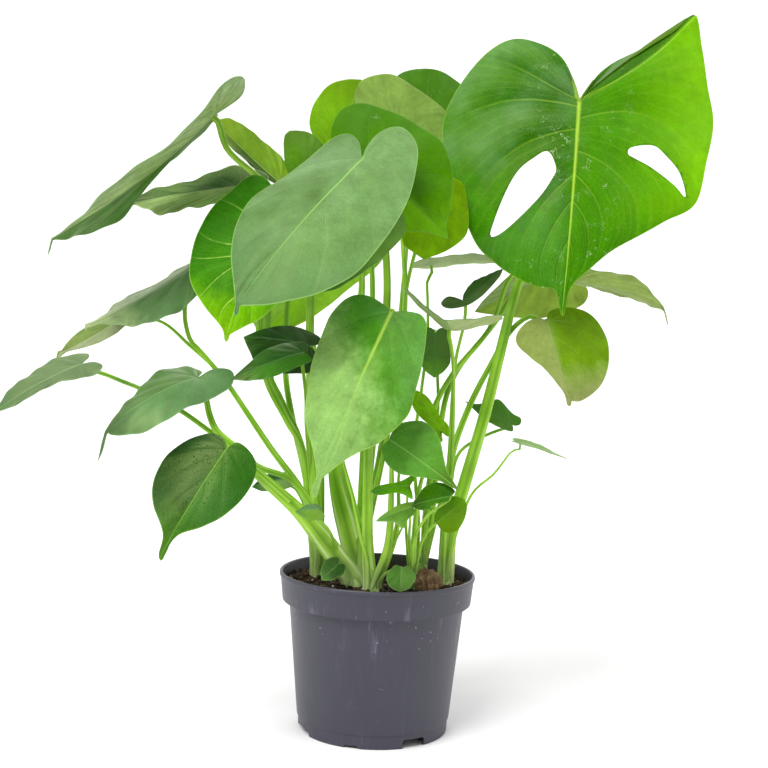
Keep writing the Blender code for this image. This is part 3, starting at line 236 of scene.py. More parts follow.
# petioles of each clump: blade, radius at the foot, radius at the blade, way points
PETIOLES = {
    "stem_right": [
        ("leaf_01", 5.9, 3.2, "62,-3,176 71,0,209 89,15,275 103,30,336 116,45,389 140,70,455 160,73,515"),
        ("leaf_33", 3.5, 2.2, "57,8,174 61,18,233 75,25,279 94,32,319 111,40,349 128,40,363"),
        ("leaf_31", 2, 1.4, "64,15,173 63,30,212 70,46,238 92,60,252"),
        ("leaf_32", 1.6, 0.9, "65,-16,170 78,-16,209 97,-15,228 111,-12,247"),
        ("leaf_38", 2, 1.6, "57,-12,181 60,-16,227 60,-12,280 59,-8,317 56,-11,337"),
    ],
    "stem_back": [
        ("leaf_34", 3, 2, "41,32,178 46,36,241 45,38,275 62,44,310 94,58,351 111,72,396 132,74,410 "
            "152,70,401"),
        ("leaf_35", 3, 2, "47,40,177 52,52,257 64,62,307 101,84,356 122,92,391 143,97,403"),
        ("leaf_36", 2, 1.4, "50,26,179 59,24,225 61,30,287 63,34,322 69,36,353"),
        ("leaf_37", 1.8, 1.3, "35,38,177 29,46,239 34,54,292 38,60,338 37,66,374 36,66,391"),
        ("leaf_39", 1.8, 1.4, "44,44,176 48,56,239 50,66,284"),
    ],
    "stem_centre": [
        ("leaf_03", 4.5, 3, "-13,0,164 -10,0,234 -4,-2,304 0,-4,363 -2,-2,411 -9,-6,454"),
        ("leaf_13", 9, 2.5, "-26,8,171 -39,16,222 -37,32,274 -28,44,336 -23,56,386 -29,64,413"),
        ("leaf_05", 3.2, 2, "-17,14,170 -16,24,249 -14,36,328 -13,48,377 -18,62,436 -25,88,463 -42,118,488"),
        ("leaf_06", 3, 2, "-10,18,170 5,32,258 15,48,338 16,58,387 11,76,442 6,96,503"),
        ("leaf_07", 2.5, 1.8, "-11,22,169 1,44,256 11,72,337 15,98,392 20,124,469 29,144,523"),
        ("leaf_04", 2.2, 1.6, "-12,10,180 3,18,259 15,28,334 17,34,383 27,34,431"),
    ],
    "stem_front": [
        ("leaf_21", 5, 3, "-9,-50,169 -10,-62,200 -11,-76,255 -9,-82,297 -4,-84,333"),
        ("leaf_22", 4, 1.8, "8,-58,171 9,-78,220 8,-88,245"),
        ("leaf_28", 1.6, 1.2, "8,-54,147 17,-60,151"),
    ],
    "stem_left": [
        ("leaf_02", 4.5, 3, "-51,-2,159 -57,-22,227 -60,-32,270 -62,-42,321 -63,-44,350 -62,-46,383 "
            "-56,-50,414 -48,-56,444 -40,-68,468"),
        ("leaf_41", 1.8, 1.4, "-61,-46,392 -42,-48,426 -24,-51,447"),
        ("leaf_14", 2, 1.4, "-58,-12,199 -62,-28,261 -62,-44,305"),
        ("leaf_15", 2, 1.4, "-59,-14,208 -63,-50,266 -62,-88,294"),
        ("leaf_12", 3.2, 2.2, "-58,6,161 -67,-6,237 -82,-8,266 -101,-8,301 -108,-20,344 -106,-32,387"),
        ("leaf_10", 4, 2.6, "-57,14,160 -70,12,239 -90,8,283 -101,8,309 -103,10,370 -97,8,430 -97,-2,458 "
            "-115,-6,475 -140,-3,496"),
        ("leaf_11", 2.4, 1.6, "-69,4,236 -87,0,275 -104,0,311 -108,2,369 -114,10,425 -121,8,451"),
        ("leaf_09", 3.2, 2.2, "-54,20,159 -68,22,221 -80,22,267 -87,24,305 -88,28,352 -87,30,405 -88,32,445"),
        ("leaf_08", 2, 1.3, "-50,18,159 -52,16,231 -57,16,284 -62,16,331 -69,16,373 -71,14,431"),
        ("leaf_20", 3.2, 1.8, "-54,6,161 -66,-2,202 -96,-8,243 -133,-4,294 -146,-2,309 -160,0,324 -169,0,334 "
            "-174,1,356 -170,1,378"),
        ("leaf_19", 1.6, 1.1, "-150,-1,313 -169,2,328 -193,4,347 -218,-5,351"),
        ("leaf_29", 1.6, 1, "-56,12,158 -64,14,184 -74,18,203"),
    ],
    "stem_low": [
        ("leaf_16", 8, 2.4, "-34,-31,152 -49,-32,171 -69,-36,194 -104,-44,226 -109,-50,236 -125,-54,250 "
            "-137,-52,260 -144,-47,273 -148,-44,287"),
        ("leaf_17", 3, 1.8, "-75,-42,203 -102,-50,227 -114,-62,238"),
        ("leaf_18", 3, 1.7, "-36,-22,156 -70,-26,213 -105,-32,230 -143,-32,256 -170,-32,274 -201,-32,290 "
            "-214,-60,299 -227,-94,308"),
        ("leaf_30", 1.8, 1.1, "-34,-30,157 -42,-46,180"),
        ("leaf_27", 1.6, 1.2, "-38,-36,144 -36,-40,148"),
    ],
    "stem_small": [
        ("leaf_40", 3.2, 1.2, "30,-30,168 33,-30,214 42,-33,249"),
        ("leaf_23", 1.5, 1, "25,-42,160 22,-62,190 22,-82,210"),
        ("leaf_24", 1.5, 1, "27,-48,158 25,-70,182 25,-84,196"),
        ("leaf_25", 1.6, 1, "28,-52,155 29,-80,181 38,-104,204"),
        ("leaf_26", 1.8, 1.1, "33,-50,157 35,-64,174 40,-80,188"),
    ],
}
# these petioles fork off another one over the soil
FORKED = ("leaf_41", "leaf_17", "leaf_19")

# young shoots of the front clump, still rolled to a point: radius at the foot, radius at the tip, way points
YOUNG_SHOOTS = [
    (4.5, 0.8, "3,-49,148 8,-54,163 15,-57,177 21,-58,190"),
    (3.2, 1, "-9,-49,158 -15,-53,180 -23,-58,212 -31,-62,239 -36,-64,262"),
    (3.4, 1, "8,-41,156 14,-40,176 16,-38,196 15,-38,223 17,-40,253"),
]


def link(name, data):
    """An object of this data, shown in the scene."""
    obj = bpy.data.objects.new(name, data)
    bpy.context.scene.collection.objects.link(obj)
    return obj


def mesh_of(name, work):
    """The mesh of a finished work mesh, which is freed."""
    mesh = bpy.data.meshes.new(name)
    work.to_mesh(mesh)
    work.free()
    return mesh


def closed(name, work, mat=None, smooth_to=None):
    """The object of a closed work mesh, with its faces turned outwards, its material and its smoothing."""
    bmesh.ops.recalc_face_normals(work, faces=work.faces)
    obj = link(name, mesh_of(name, work))
    if mat:
        obj.data.materials.append(mat)
    if smooth_to:
        smooth(obj, smooth_to)
    return obj


def smooth(obj, angle):
    """Shade smoothly over edges that bend by less than the angle in degrees."""
    obj.data.shade_smooth()
    obj.data.set_sharp_from_angle(angle=math.radians(angle))


def settle(obj):
    """Bake the modifiers of a piece into its mesh."""
    graph = bpy.context.evaluated_depsgraph_get()
    mesh = bpy.data.meshes.new_from_object(obj.evaluated_get(graph), depsgraph=graph)
    obj.modifiers.clear()
    obj.data = mesh


def combine(obj, operation, other):
    """Cut another closed object out of this one, or join all of a collection to it, and drop the other."""
    step = obj.modifiers.new("Combine", "BOOLEAN")
    step.operation = operation
    step.solver = "MANIFOLD"
    many = isinstance(other, bpy.types.Collection)
    if many:
        step.operand_type = "COLLECTION"
        step.collection = other
    else:
        step.object = other
    settle(obj)
    for spent in list(other.objects) if many else [other]:
        bpy.data.objects.remove(spent, do_unlink=True)
    if many:
        bpy.data.collections.remove(other)


def tube(work, rings):
    """Faces along a row of rings of vertices, and over both its ends."""
    work.faces.new(rings[0][::-1])
    for one, two in zip(rings, rings[1:]):
        for k in range(len(one)):
            n = (k + 1) % len(one)
            work.faces.new((one[k], one[n], two[n], two[k]))
    work.faces.new(rings[-1])


def belongs(obj, node):
    """The piece rides on the plant's one body and stands in for its CAD node, which is hidden."""
    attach(obj, "root")
    if node:
        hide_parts(node)


# shader helpers
def hexa(code):
    """sRGB hex such as 5FA83C as linear RGBA."""
    parts = [int(code[i:i + 2], 16) / 255 for i in (0, 2, 4)]
    line = [c / 12.92 if c <= 0.04045 else ((c + 0.055) / 1.055) ** 2.4 for c in parts]
    return (*line, 1.0)


def put(mat, kind, *plugs, out=0, **more):
    """Add one node to a material: its kind, with its operation where it has one. plugs feed its inputs in
    order and more gives its settings and named inputs, each as a value, a hex colour or another node's socket.
    The socket numbered out comes back, or all of them for None."""
    kind, *operation = kind.split()
    node = mat.node_tree.nodes.new("ShaderNode" + kind)
    if operation:
        node.operation = operation[0]
    feed = list(enumerate(plugs))
    for key, value in more.items():
        if hasattr(node, key):
            setattr(node, key, value)
        else:
            feed.append((key.replace("_", " "), value))
    for socket, value in feed:
        if isinstance(value, bpy.types.NodeSocket):
            mat.node_tree.links.new(value, node.inputs[socket])
        else:
            node.inputs[socket].default_value = hexa(value) if isinstance(value, str) else value
    return node.outputs[:] if out is None else node.outputs[out]


def blank(name):
    """A material without nodes, and the function that adds one to it."""
    mat = bpy.data.materials.new(name)
    mat.use_nodes = True
    mat.node_tree.nodes.clear()
    return mat, partial(put, mat)


def tinted(add, colour, *layers):
    """The colour with tints over it. A layer names a pattern, where the tint starts and where it is full, the
    tint's strength and the tint."""
    for pattern, low, high, much, tint in layers:
        colour = add("MixRGB", add("MapRange", pattern, low, high, 0.0, much), colour, tint)
    return colour


# looks of the blades
# A look names four colours of a blade in this order: left half, right half, tip and veins. Its other entries:
#   under, under_right   the underside, and its right half where that differs
#   outer, under_outer   tints at the margin of the left and right half, on top and below
#   glow                 share of light let through
#   laterals, veins      number of side veins of a half, or those veins one by one
#   bright_vein, side_vein, threads   strength of the midrib, the side veins and the fine veins between them
#   vein_reach           reach towards the margin at which the side veins have faded
#   rib, rib_end         half the midrib's width in mm at the petiole, and where along the blade it has faded
#   groove, quilt        depth of the side veins' grooves, and height in mm of the flesh between them
#   channel, wave        depth in mm of the channel for the midrib, and height of the margin's waves
#   fade, slant          shares of the length between which the tip's colour comes in, and its slant to a side
#   bloom        painted sheen on the left and right half: pale clouds that stand for the sky's reflection
#   streaks              strength and tint of the bands that run out with the side veins: partly uneven green, partly painted shade of the ripples
#   mottle, rim          strength of the clouds, and of the pale line at the margin
#   drops, drops_out     dried water marks near the midrib, and the share of them left at the margin
#   beads                share of the tiny water beads
#   haze, rough, gloss, wax   sheen, roughness, and strength and tint of the cuticle's shine
#   crease               fold line: its half, its way (across, along), slope past it and sag in mm; the flap past it is painted darker as painted shade
WAX = "D2E68C"
GREEN_WAX = "A4C82A"
# painted sheen: the pale grey-green that stands for the sky's reflection on the glossy blades
PAINTED_SHEEN_COLOUR = "8FB487"
# side veins one by one, left half and right half: outline share at the start, middle and end of each
BIG_VEINS = ([(0.10, 0.10, 0.10), (0.29, 0.255, 0.25), (0.38, 0.37, 0.41), (0.463, 0.51, 0.60),
              (0.61, 0.71, 0.80), (0.69, 0.795, 0.88), (0.80, 0.88, 0.95)],
             [(0.10, 0.10, 0.10), (0.35, 0.295, 0.25), (0.425, 0.44, 0.54), (0.535, 0.625, 0.74),
              (0.61, 0.74, 0.86), (0.69, 0.80, 0.92), (0.80, 0.90, 0.97)])
BRIGHT_VEINS = ([(0.13, 0.13, 0.13), (0.33, 0.34, 0.36), (0.45, 0.51, 0.485), (0.50, 0.574, 0.577),
                 (0.52, 0.67, 0.75), (0.75, 0.83, 0.90)],
                [(0.13, 0.13, 0.13), (0.33, 0.36, 0.38), (0.50, 0.56, 0.62), (0.66, 0.72, 0.78),
                 (0.80, 0.87, 0.93)])
PLAIN = dict(under="8DAE4B", glow=0.28, laterals=4, haze=0.12, rough=0.40, drops=0.0, mottle=0.36, quilt=0.4,
             bright_vein=0.55, groove=0.12, side_vein=0.18, rim=0.35, fade=(0.55, 1.0), rib=1.3,
             bloom=(0.1, 0.1), threads=0.03, beads=0.0, gloss=0.5, streaks=(0.18, "4C7A28"), wave=1.0,
             channel=0.7, drops_out=0.0, vein_reach=0.92, wax=WAX, slant=0.0, rib_end=1.3)
SUNLIT = dict(haze=0.03, gloss=0.2, wax=GREEN_WAX)
SMALL_BLADE = dict(bright_vein=0.32, side_vein=0.05, threads=0.0, streaks=(0.12, "2E5E18"))


def look(colours, kind=PLAIN, **more):
    """The entries of one blade: its four colours and what differs from its kind and from the plain look."""
    left, right, tip, vein = colours.split()
    return {**PLAIN, **kind, **more, "left": left, "right": right, "tip": tip, "vein": vein}


LOOKS = {
    # leaf_01: the darker green of the left half and the bright yellow-green of the right half, brightest at
    # its margin, are partly the blade's own green and partly painted light: painted shade where the left half
    # tilts away, painted glow where light shines through the right half
    "leaf_01": look("276306 458D00 3A8400 B4D64A", SUNLIT, glow=0.34, haze=0.05, drops=0.8,
        quilt=3.6, bright_vein=0.75, groove=0.4, side_vein=0.25, fade=(0.34, 0.66), rib=3.0,
        bloom=(0.34, 0.03), threads=0.05, gloss=0.3, streaks=(0.22, "2E7006"), channel=1.2,
        under_right="4E7512", veins=BIG_VEINS, crease=(1, 105, -108, 0.9, 8), outer=("367818", "78BE06")),
    "leaf_02": look("3C632A 577E42 366036 8CBC60", under="9DB884", glow=0.15, laterals=5, haze=0.3,
        rough=0.5, mottle=0.6, quilt=0.8, bright_vein=0.62, side_vein=0.1, rim=0.55, rib=1.6,
        bloom=(0.3, 0.2), threads=0.015, streaks=(0.35, "4F7F44"), wave=1.2, channel=1.8, rib_end=1.0),
    "leaf_03": look("75BA06 3F7800 639F03 6FA34E", laterals=5, drops=0.9, gloss=0.25, drops_out=1.0,
        wax=GREEN_WAX),
    # painted glow: leaf_04's lime is painted brighter than the blade's own green, for light shining through it
    # from behind while it lies in shade
    "leaf_04": look("CCEC24 C2EA1E CCEC28 C2E266", SUNLIT, glow=0.84),
    "leaf_05": look("86BE2C 8AC000 759C00 B0D45C", SUNLIT, glow=0.5),
    "leaf_06": look("7CA24C 7FA550 6F9A40 B4CB86", under="AECF66", glow=0.4, laterals=6, mottle=0.4,
        bright_vein=0.7, side_vein=0.3, streaks=(0.35, "5C8A2A"), vein_reach=1.3),
    "leaf_07": look("3E8727 427B03 3E8727 79AD50", drops=0.3, beads=0.25, gloss=0.35),
    "leaf_08": look("699C30 639C18 547824 6C9E4A", beads=0.15, gloss=0.35),
    "leaf_09": look("729906 1B4200 849F27 A6CC68", under="86B84A", glow=0.35, laterals=6, wave=1.8),
    "leaf_10": look("447A32 649256 549428 A3BF8C", under="2A6806", laterals=6, haze=0.27, mottle=0.6,
        quilt=1.2, bright_vein=0.5, rim=0.6, streaks=(0.75, "2F5A14"), wave=2.2, under_right="A2BD75",
        under_outer=("5E8C44", "9EB882")),
    # leaf_11: the pale grey-green right half, which hangs towards the eye, is painted sheen; the far half
    # keeps the dark green of the same top
    "leaf_11": look("0F5100 90B163 1E2403 B5C79E", under="96AE84", laterals=6, haze=0.24, mottle=0.5,
        quilt=1.2, bright_vein=0.5, rim=0.6, streaks=(0.6, "2A5210"), wave=2.2),
    "leaf_12": look("3F9300 78CF00 90CC03 C4E070", SUNLIT, under="78B040", glow=0.5, quilt=1.4,
        bright_vein=0.7, side_vein=0.95, rim=0.6, threads=0.04, streaks=(0.35, "2E7000"), wave=1.6,
        vein_reach=1.6, veins=BRIGHT_VEINS),
    # painted glow: leaf_13's lime underside is painted brighter than its own green, for light shining through
    # it from behind while it lies in shade
    "leaf_13": look("94BC48 98C04A A0C450 C0D87C", under="BEE052", glow=0.74, haze=0.06,
        under_right="BEDA7C"),
    "leaf_14": look("06360C 063006 0C3903 3E6E44", under="2E5C34", glow=0.08),
    "leaf_15": look("155703 397E0F 032400 5C9250", laterals=6, haze=0.18),
    "leaf_16": look("487236 54814B 5D844E 86AE72", under="8FAE74", laterals=5, haze=0.24, mottle=0.35,
        quilt=1.0, bright_vein=0.45, rim=0.5, streaks=(0.45, "6E7A5A"), wave=2.4),
    "leaf_17": look("033C03 1B5D09 396C12 8FC24A", SMALL_BLADE, laterals=5, haze=0.08, mottle=0.2,
        bright_vein=0.5, beads=0.3, channel=0.9),
    "leaf_18": look("60784B 5A724B 3F6336 92AE80", under="8CA478", laterals=5, haze=0.24, quilt=0.8,
        streaks=(0.4, "5E7450"), wave=1.8),
    "leaf_19": look("8AA458 8AA458 93AA60 A9BC7C", under="ABB48D", glow=0.4, under_right="879C57"),
    "leaf_20": look("C0CFB4 518148 ABBA84 8CAA7C", under="93A480", laterals=6, haze=0.27, mottle=0.4,
        quilt=1.0, rim=0.5, streaks=(0.6, "74785A"), wave=2.4),
    # leaf_21: its pale grey-green tip colour, brought in on a slant over the lower blade, is painted sheen,
    # the sky's reflection on the glossy blade
    "leaf_21": look("429315 458A09 87B160 B8DC5A", under="96B878", laterals=5, haze=0.1, mottle=0.5,
        quilt=0.8, bright_vein=0.7, side_vein=0.1, fade=(0.22, 0.48), rib=2.6, bloom=(0.3, 0.3),
        threads=0.01, gloss=0.35, wave=1.2, channel=1.2, wax="B8D060", slant=0.28, rib_end=0.5),
    "leaf_22": look("54992D 519327 3C5A06 9CC86A", SMALL_BLADE, laterals=5, haze=0.1, drops=0.3,
        bright_vein=0.5, beads=0.35),
    "leaf_23": look("75C60C 6FC003 4C9E30 8CBE5A", SMALL_BLADE, gloss=0.25, wax=GREEN_WAX),
    "leaf_24": look("7EB136 5A9321 5AA640 A6CC7C", SMALL_BLADE),
    "leaf_25": look("2A5D00 306900 031500 6FA84C", SMALL_BLADE, gloss=0.2, wax=GREEN_WAX),
    "leaf_26": look("699606 578D00 578A00 8CC04A", SMALL_BLADE, glow=0.35, gloss=0.25, wax=GREEN_WAX),
    "leaf_27": look("2A5118 244B18 2F6E2C 7CAE5A", SMALL_BLADE),
    "leaf_28": look("397512 5A8A30 4E7533 8FBE6C", SMALL_BLADE, under="7CA35E"),
    "leaf_29": look("37783A AECF81 37783A 6C9E5A", glow=0.5),
    "leaf_30": look("5C8C52 7BA82A 4C8440 8CAE76", SMALL_BLADE),
    "leaf_31": look("3F7812 457B18 2B6426 548442", SMALL_BLADE),
    "leaf_32": look("7FA060 86A666 8FAE70 A6BC86"),
    "leaf_33": look("A2AE60 7BA500 A5A86F AFC882", SUNLIT, under="8FAE4C", glow=0.5, haze=0.09, mottle=0.4,
        bright_vein=0.5, rib=1.2),
    "leaf_34": look("86A064 8FA86C 7F9A5A A6B886", under="B4C96F", glow=0.4, laterals=6, haze=0.18,
        quilt=0.8, streaks=(0.4, "6C8A3C"), wave=1.8, under_right="C0CF8D"),
    # painted light: leaf_35's pale undersides are painted brighter than their own colour, to make up for the
    # shade they lie in
    "leaf_35": look("7FA050 8AAA58 7A9A4A A9BE80", under="BACF5D", glow=0.55, streaks=(0.4, "5A7A20"),
        under_right="C0CF9F"),
    "leaf_36": look("365A24 154E03 20501F 3E6E36", under="3A6A34", glow=0.08),
    # painted light: leaf_37's pale underside is painted brighter than its own colour, to make up for the shade
    # it lies in
    "leaf_37": look("8CA86C 86A460 8CA86C B4C694", under="C0CF9C", glow=0.45),
    # painted light: leaf_38's pale right underside is painted brighter than its own colour, to make up for the
    # shade it lies in
    "leaf_38": look("54825A 5A8A54 4C7A4C 8CA87C", under="99BA60", glow=0.4, haze=0.24, under_right="C0CF8D"),
    "leaf_39": look("3C6627 426924 5D9F1E 4A7A40", glow=0.1),
    # painted glow: leaf_40's lime is painted brighter than the blade's own green, for light shining through it
    # from behind while it lies in shade
    "leaf_40": look("B4E620 ACE21C B8E62C BCE062", SUNLIT, glow=0.8),
    "leaf_41": look("245A26 6F9F3F 245A26 4C8044", glow=0.1),
}


def blade_skin(name, looks, top):
    """Living leaf: a waxy cuticle over soft green flesh that lets light through, so the eye sees a satin
    sheen, partly painted sheen in pale clouds, paler veins that fork off the midrib, small cloudy mottling
    and a thin pale margin.

    The blade carries its own measures. "blade": side veins passed, reach from the midrib out (left halves
    count up) and share of the length. "place": mm from the midrib, from one side vein to the next and from
    the margin. "past": mm that the flesh leans back past a fold line, which also sets where the flap is
    painted darker as painted shade.
    """
    mat, add = blank(name + ("_top" if top else "_under"))
    where = add("TexCoord", out=3)
    leafy = add("Attribute", attribute_name="blade", out=1)
    rule = add("Attribute", attribute_name="place", out=1)
    turn, out, along = add("SeparateXYZ", leafy, out=None)
    across, apart, margin = add("SeparateXYZ", rule, out=None)
    reach = add("Math ABSOLUTE", out)
    width = add("Math ABSOLUTE", across)
    big = add("TexNoise", where, Scale=75.0, Detail=4.0, Roughness=0.6)
    small = add("TexNoise", where, Scale=420.0, Detail=2.0, Roughness=0.6)

    # broad tints: one half, the other half, the tip
    vein = looks["vein"]
    under = looks["under"]
    left, right = (looks["left"], looks["right"]) if top else (under, looks.get("under_right", under))
    side = add("MapRange", out, -0.12, 0.12)
    flesh = add("MixRGB", side, right, left)
    outer = looks.get("outer" if top else "under_outer")
    if outer:
        margins = add("MixRGB", side, outer[1], outer[0])
        flesh = tinted(add, flesh, (reach, 0.30, 0.92, 1.0, margins))
    if top:
        slanted = add("Math MULTIPLY_ADD", out, looks["slant"], along)
        slanted = add("Math MULTIPLY_ADD", add("Math SUBTRACT", big, 0.5), 0.4, slanted)
        near_tip = add("MapRange", slanted, *looks["fade"])
        flesh = add("MixRGB", near_tip, flesh, looks["tip"])
        # painted sheen: pale clouds that stand for the sky's reflection, painted over each half and fainter
        # towards the tip
        sheen_clouds = add("MapRange", add("TexNoise", where, Scale=20.0, Detail=3.0), 0.38, 0.70)
        much = add("MapRange", side, 0.0, 1.0, looks["bloom"][1], looks["bloom"][0])
        much = add("Math MULTIPLY", much, add("MapRange", near_tip, 0.0, 1.0, 1.0, 0.3))
        flesh = add("MixRGB", add("Math MULTIPLY", sheen_clouds, much), flesh, PAINTED_SHEEN_COLOUR)
        # painted shade: the flap that leans back past the fold is painted in the left half's darker green, as
        # it lies out of the light; a pale vein runs along the fold
        if "crease" in looks:
            past = add("Attribute", attribute_name="past", out=2)
            flesh = tinted(add, flesh, (past, 0.3, 1.6, 0.9, looks["left"]))
            ridge = add("Math COMPARE", past, 0.25, 0.14)
            flesh = add("MixRGB", add("Math MULTIPLY", ridge, 0.5), flesh, vein)

    # soft bands that run from the midrib to the margin between the side veins: partly the blade's uneven
    # green, partly painted shade of its ripples
    strength, tint = looks["streaks"]
    fan = add("CombineXYZ", add("Math MULTIPLY", turn, 2.4), add("Math MULTIPLY", out, 1.1))
    bands = add("TexNoise", fan, Scale=1.6, Detail=4.0, Roughness=0.55)
    flesh = tinted(add, flesh, (bands, 0.46, 0.72, strength, tint))

    # clouds of 12 mm and 3 mm, lighter and darker
    tone = add("Math MULTIPLY_ADD", big, looks["mottle"] * 1.6, 1 - looks["mottle"] * 1.25)
    tone = add("Math MULTIPLY_ADD", small, looks["mottle"] * 0.9, tone)
    flesh = add("MixRGB", 1.0, flesh, tone, blend_type="MULTIPLY")

    # side veins from the midrib to the margin, wavy by about a millimetre, and finer ones between them
    turn = add("Math MULTIPLY_ADD", add("TexNoise", where, Scale=45.0, Detail=2.0), 0.06, turn)
    off = add("Math PINGPONG", add("Math SUBTRACT", turn, 0.03), 0.5)
    off = add("Math MULTIPLY", off, apart)
    thin = add("MapRange", reach, 0.0, 1.0, 1.3, 0.5)
    lateral = add("MapRange", off, 0.0, thin, 1.0, 0.0, interpolation_type="SMOOTHSTEP")
    lateral = add("Math MULTIPLY", lateral, add("MapRange", reach, looks["vein_reach"], 0.25))
    groove = add("MapRange", off, 0.0, 4.0, 1.0, 0.0, interpolation_type="SMOOTHERSTEP")
    fine = add("Math PINGPONG", add("Math MULTIPLY", turn, 6.0), 0.5)
    fine = add("MapRange", fine, 0.0, 0.2, 1.0, 0.0, interpolation_type="SMOOTHSTEP")
    rib_width = add("MapRange", along, 0.0, 1.0, looks["rib"] if top else looks["rib"] * 1.25, 0.35)
    midrib = add("MapRange", width, 0.0, rib_width, 1.0, 0.0, interpolation_type="SMOOTHSTEP")
    midrib = add("Math MULTIPLY", midrib, add("MapRange", along, -0.03, 0.0))
    ebb = add("MapRange", along, looks["rib_end"] - 0.25, looks["rib_end"], 1.0, 0.2)
    midrib = add("Math MULTIPLY", midrib, ebb)
    cells = add("TexVoronoi", where, feature="DISTANCE_TO_EDGE", Scale=330.0)
    net = add("MapRange", cells, 0.12, 0.0)
    edge = add("MapRange", margin, 1.0, 0.3)
    strong = looks["bright_vein"]
    for pattern, much in ((net, 0.06), (fine, looks["threads"]), (lateral, looks["side_vein"]),
                          (midrib, min(1.0, 1.25 * strong)), (edge, looks["rim"])):
        part = add("Math MULTIPLY", pattern, much)
        flesh = add("MixRGB", part, flesh, vein)

    # dried drops: pale thin outlines where water stood, mostly in a few patches
    dull = looks["rough"] if top else looks["rough"] + 0.15
    rough = add("Math MULTIPLY_ADD", small, 0.25, dull - 0.125)
    if top and looks["drops"]:
        blot = add("TexNoise", where, Scale=120.0, Detail=3.0, Distortion=0.4)
        ring = add("Math COMPARE", blot, 0.62, 0.012)
        patch = add("TexNoise", where, Scale=22.0, Detail=1.0)
        ring = add("Math MULTIPLY", ring, add("MapRange", patch, 0.48, 0.60, 0.0, looks["drops"]))
        ring = add("Math MULTIPLY", ring, add("MapRange", width, 55.0, 15.0, looks["drops_out"], 0.75))
        flesh = add("MixRGB", ring, flesh, "BCD6A2")

    # water beads under a millimetre wide: a darker foot and a small raised drop that catches the light
    bead = None
    if top and looks["beads"]:
        near, chance = add("TexVoronoi", where, Scale=430.0, out=None)[:2]
        kept = add("Math GREATER_THAN", add("SeparateXYZ", chance), 1 - looks["beads"])
        bead = add("MapRange", near, 0.30, 0.0, interpolation_type="SMOOTHSTEP")
        bead = add("Math MULTIPLY", bead, kept)
        flesh = add("MixRGB", add("Math MULTIPLY", bead, 0.35), flesh, "1E4A12")
        rough = add("MapRange", bead, 0.05, 0.5, rough, 0.08)

    # relief: veins stand out under the blade and lie in grooves on top
    lift = -1.0 if top else 1.0
    height = add("Math MULTIPLY_ADD", big, 0.35, 0.0)
    for pattern, much in ((lateral, -0.20), (groove, looks["groove"]), (midrib, -0.6), (net, 0.04),
                          (fine, 0.02)):
        height = add("Math MULTIPLY_ADD", pattern, much * lift, height)
    if bead:
        height = add("Math MULTIPLY_ADD", bead, 0.8, height)
    bump = add("Bump", Strength=0.55, Distance=0.0012, Height=height)
    skin = add("BsdfPrincipled", flesh, Roughness=rough, Specular_IOR_Level=looks["gloss"] if top else 0.3,
               Specular_Tint=looks["wax"], Sheen_Weight=looks["haze"], Sheen_Roughness=0.5,
               Sheen_Tint=looks["wax"], Normal=bump)
    through = add("MixRGB", 1.0, flesh, "E6F0A0", blend_type="MULTIPLY")
    light = add("BsdfTranslucent", through, Normal=bump)
    both = add("MixShader", looks["glow"], skin, light)
    add("OutputMaterial", both, out=None)
    return mat


# blades
def spline(points, steps, closed=False, crowd=1.0):
    """Smooth curve through the points; crowd above 1 takes closer steps towards its end."""
    pts = [Vector(p) for p in points]
    if closed:
        pts = [pts[-1]] + pts + [pts[0], pts[1]]
    else:
        pts = [2 * pts[0] - pts[1]] + pts + [2 * pts[-1] - pts[-2]]
    dense = []
    parts = 24
    for i in range(1, len(pts) - 2):
        a, b, c, d = pts[i - 1:i + 3]
        for k in range(parts):
            t = k / parts
            dense.append(0.5 * (2 * b + (c - a) * t + (2 * a - 5 * b + 4 * c - d) * t * t
                                + (3 * b - a - 3 * c + d) * t ** 3))
    dense.append(pts[-2])
    reach = [0.0]
    for p, q in zip(dense, dense[1:]):
        reach.append(reach[-1] + (q - p).length)
    out = []
    k = 0
    for i in range(steps + 1):
        want = reach[-1] * (1 - (1 - i / steps) ** crowd)
        while k < len(reach) - 2 and reach[k + 1] < want:
            k += 1
        span = max(reach[k + 1] - reach[k], 1e-9)
        out.append(dense[k].lerp(dense[k + 1], min(1.0, (want - reach[k]) / span)))
    return out


def clamp(share):
    """The share kept between 0 and 1."""
    return min(1.0, max(0.0, share))


def blade_frame(row):
    """Directions out to the left half, along the midrib and up from the blade, and the midrib's length."""
    along = (row["tip"] - row["base"]).normalized()
    up = row["face"] - along * row["face"].dot(along)
    up.normalize()
    return along.cross(up), along, up, (row["tip"] - row["base"]).length


def half_outline(row, side, length):
    """Outline points (across, along) of one half, down to the end of its drip tip."""
    half = row["halves"][side]
    drip = row["drip"]
    end = [(0, length)]
    if drip:
        end = [(2.6, length), (1.9, length + 0.6 * drip), (0, length + drip)]
    if isinstance(half, list):
        return [(0, 0)] + half + end
    wide, lobe, share, full = half
    low = share * length
    rest = length - low
    upper = [(0, 0), (0.10 * wide, -0.60 * lobe), (0.38 * wide, -lobe), (0.74 * wide, -0.72 * lobe),
             (0.96 * wide, 0.45 * low - 0.12 * lobe), (wide, low)]
    lower = [((a + b * full) * wide, low + c * rest)
             for a, b, c in ((0.88, 0.25, 0.30), (0.50, 0.8, 0.66), (0.15, 0.35, 0.90))]
    return upper + lower + end


def half_width(row, side):
    """Greatest reach of one half from the midrib in mm."""
    half = row["halves"][side]
    return max(p[0] for p in half) if isinstance(half, list) else half[0]


def fold_at(row, side, u):
    """Tilt of one half at share u of the length."""
    fold = row["fold"][side]
    return fold[0] + (fold[1] - fold[0]) * max(0.0, u) if isinstance(fold, tuple) else fold


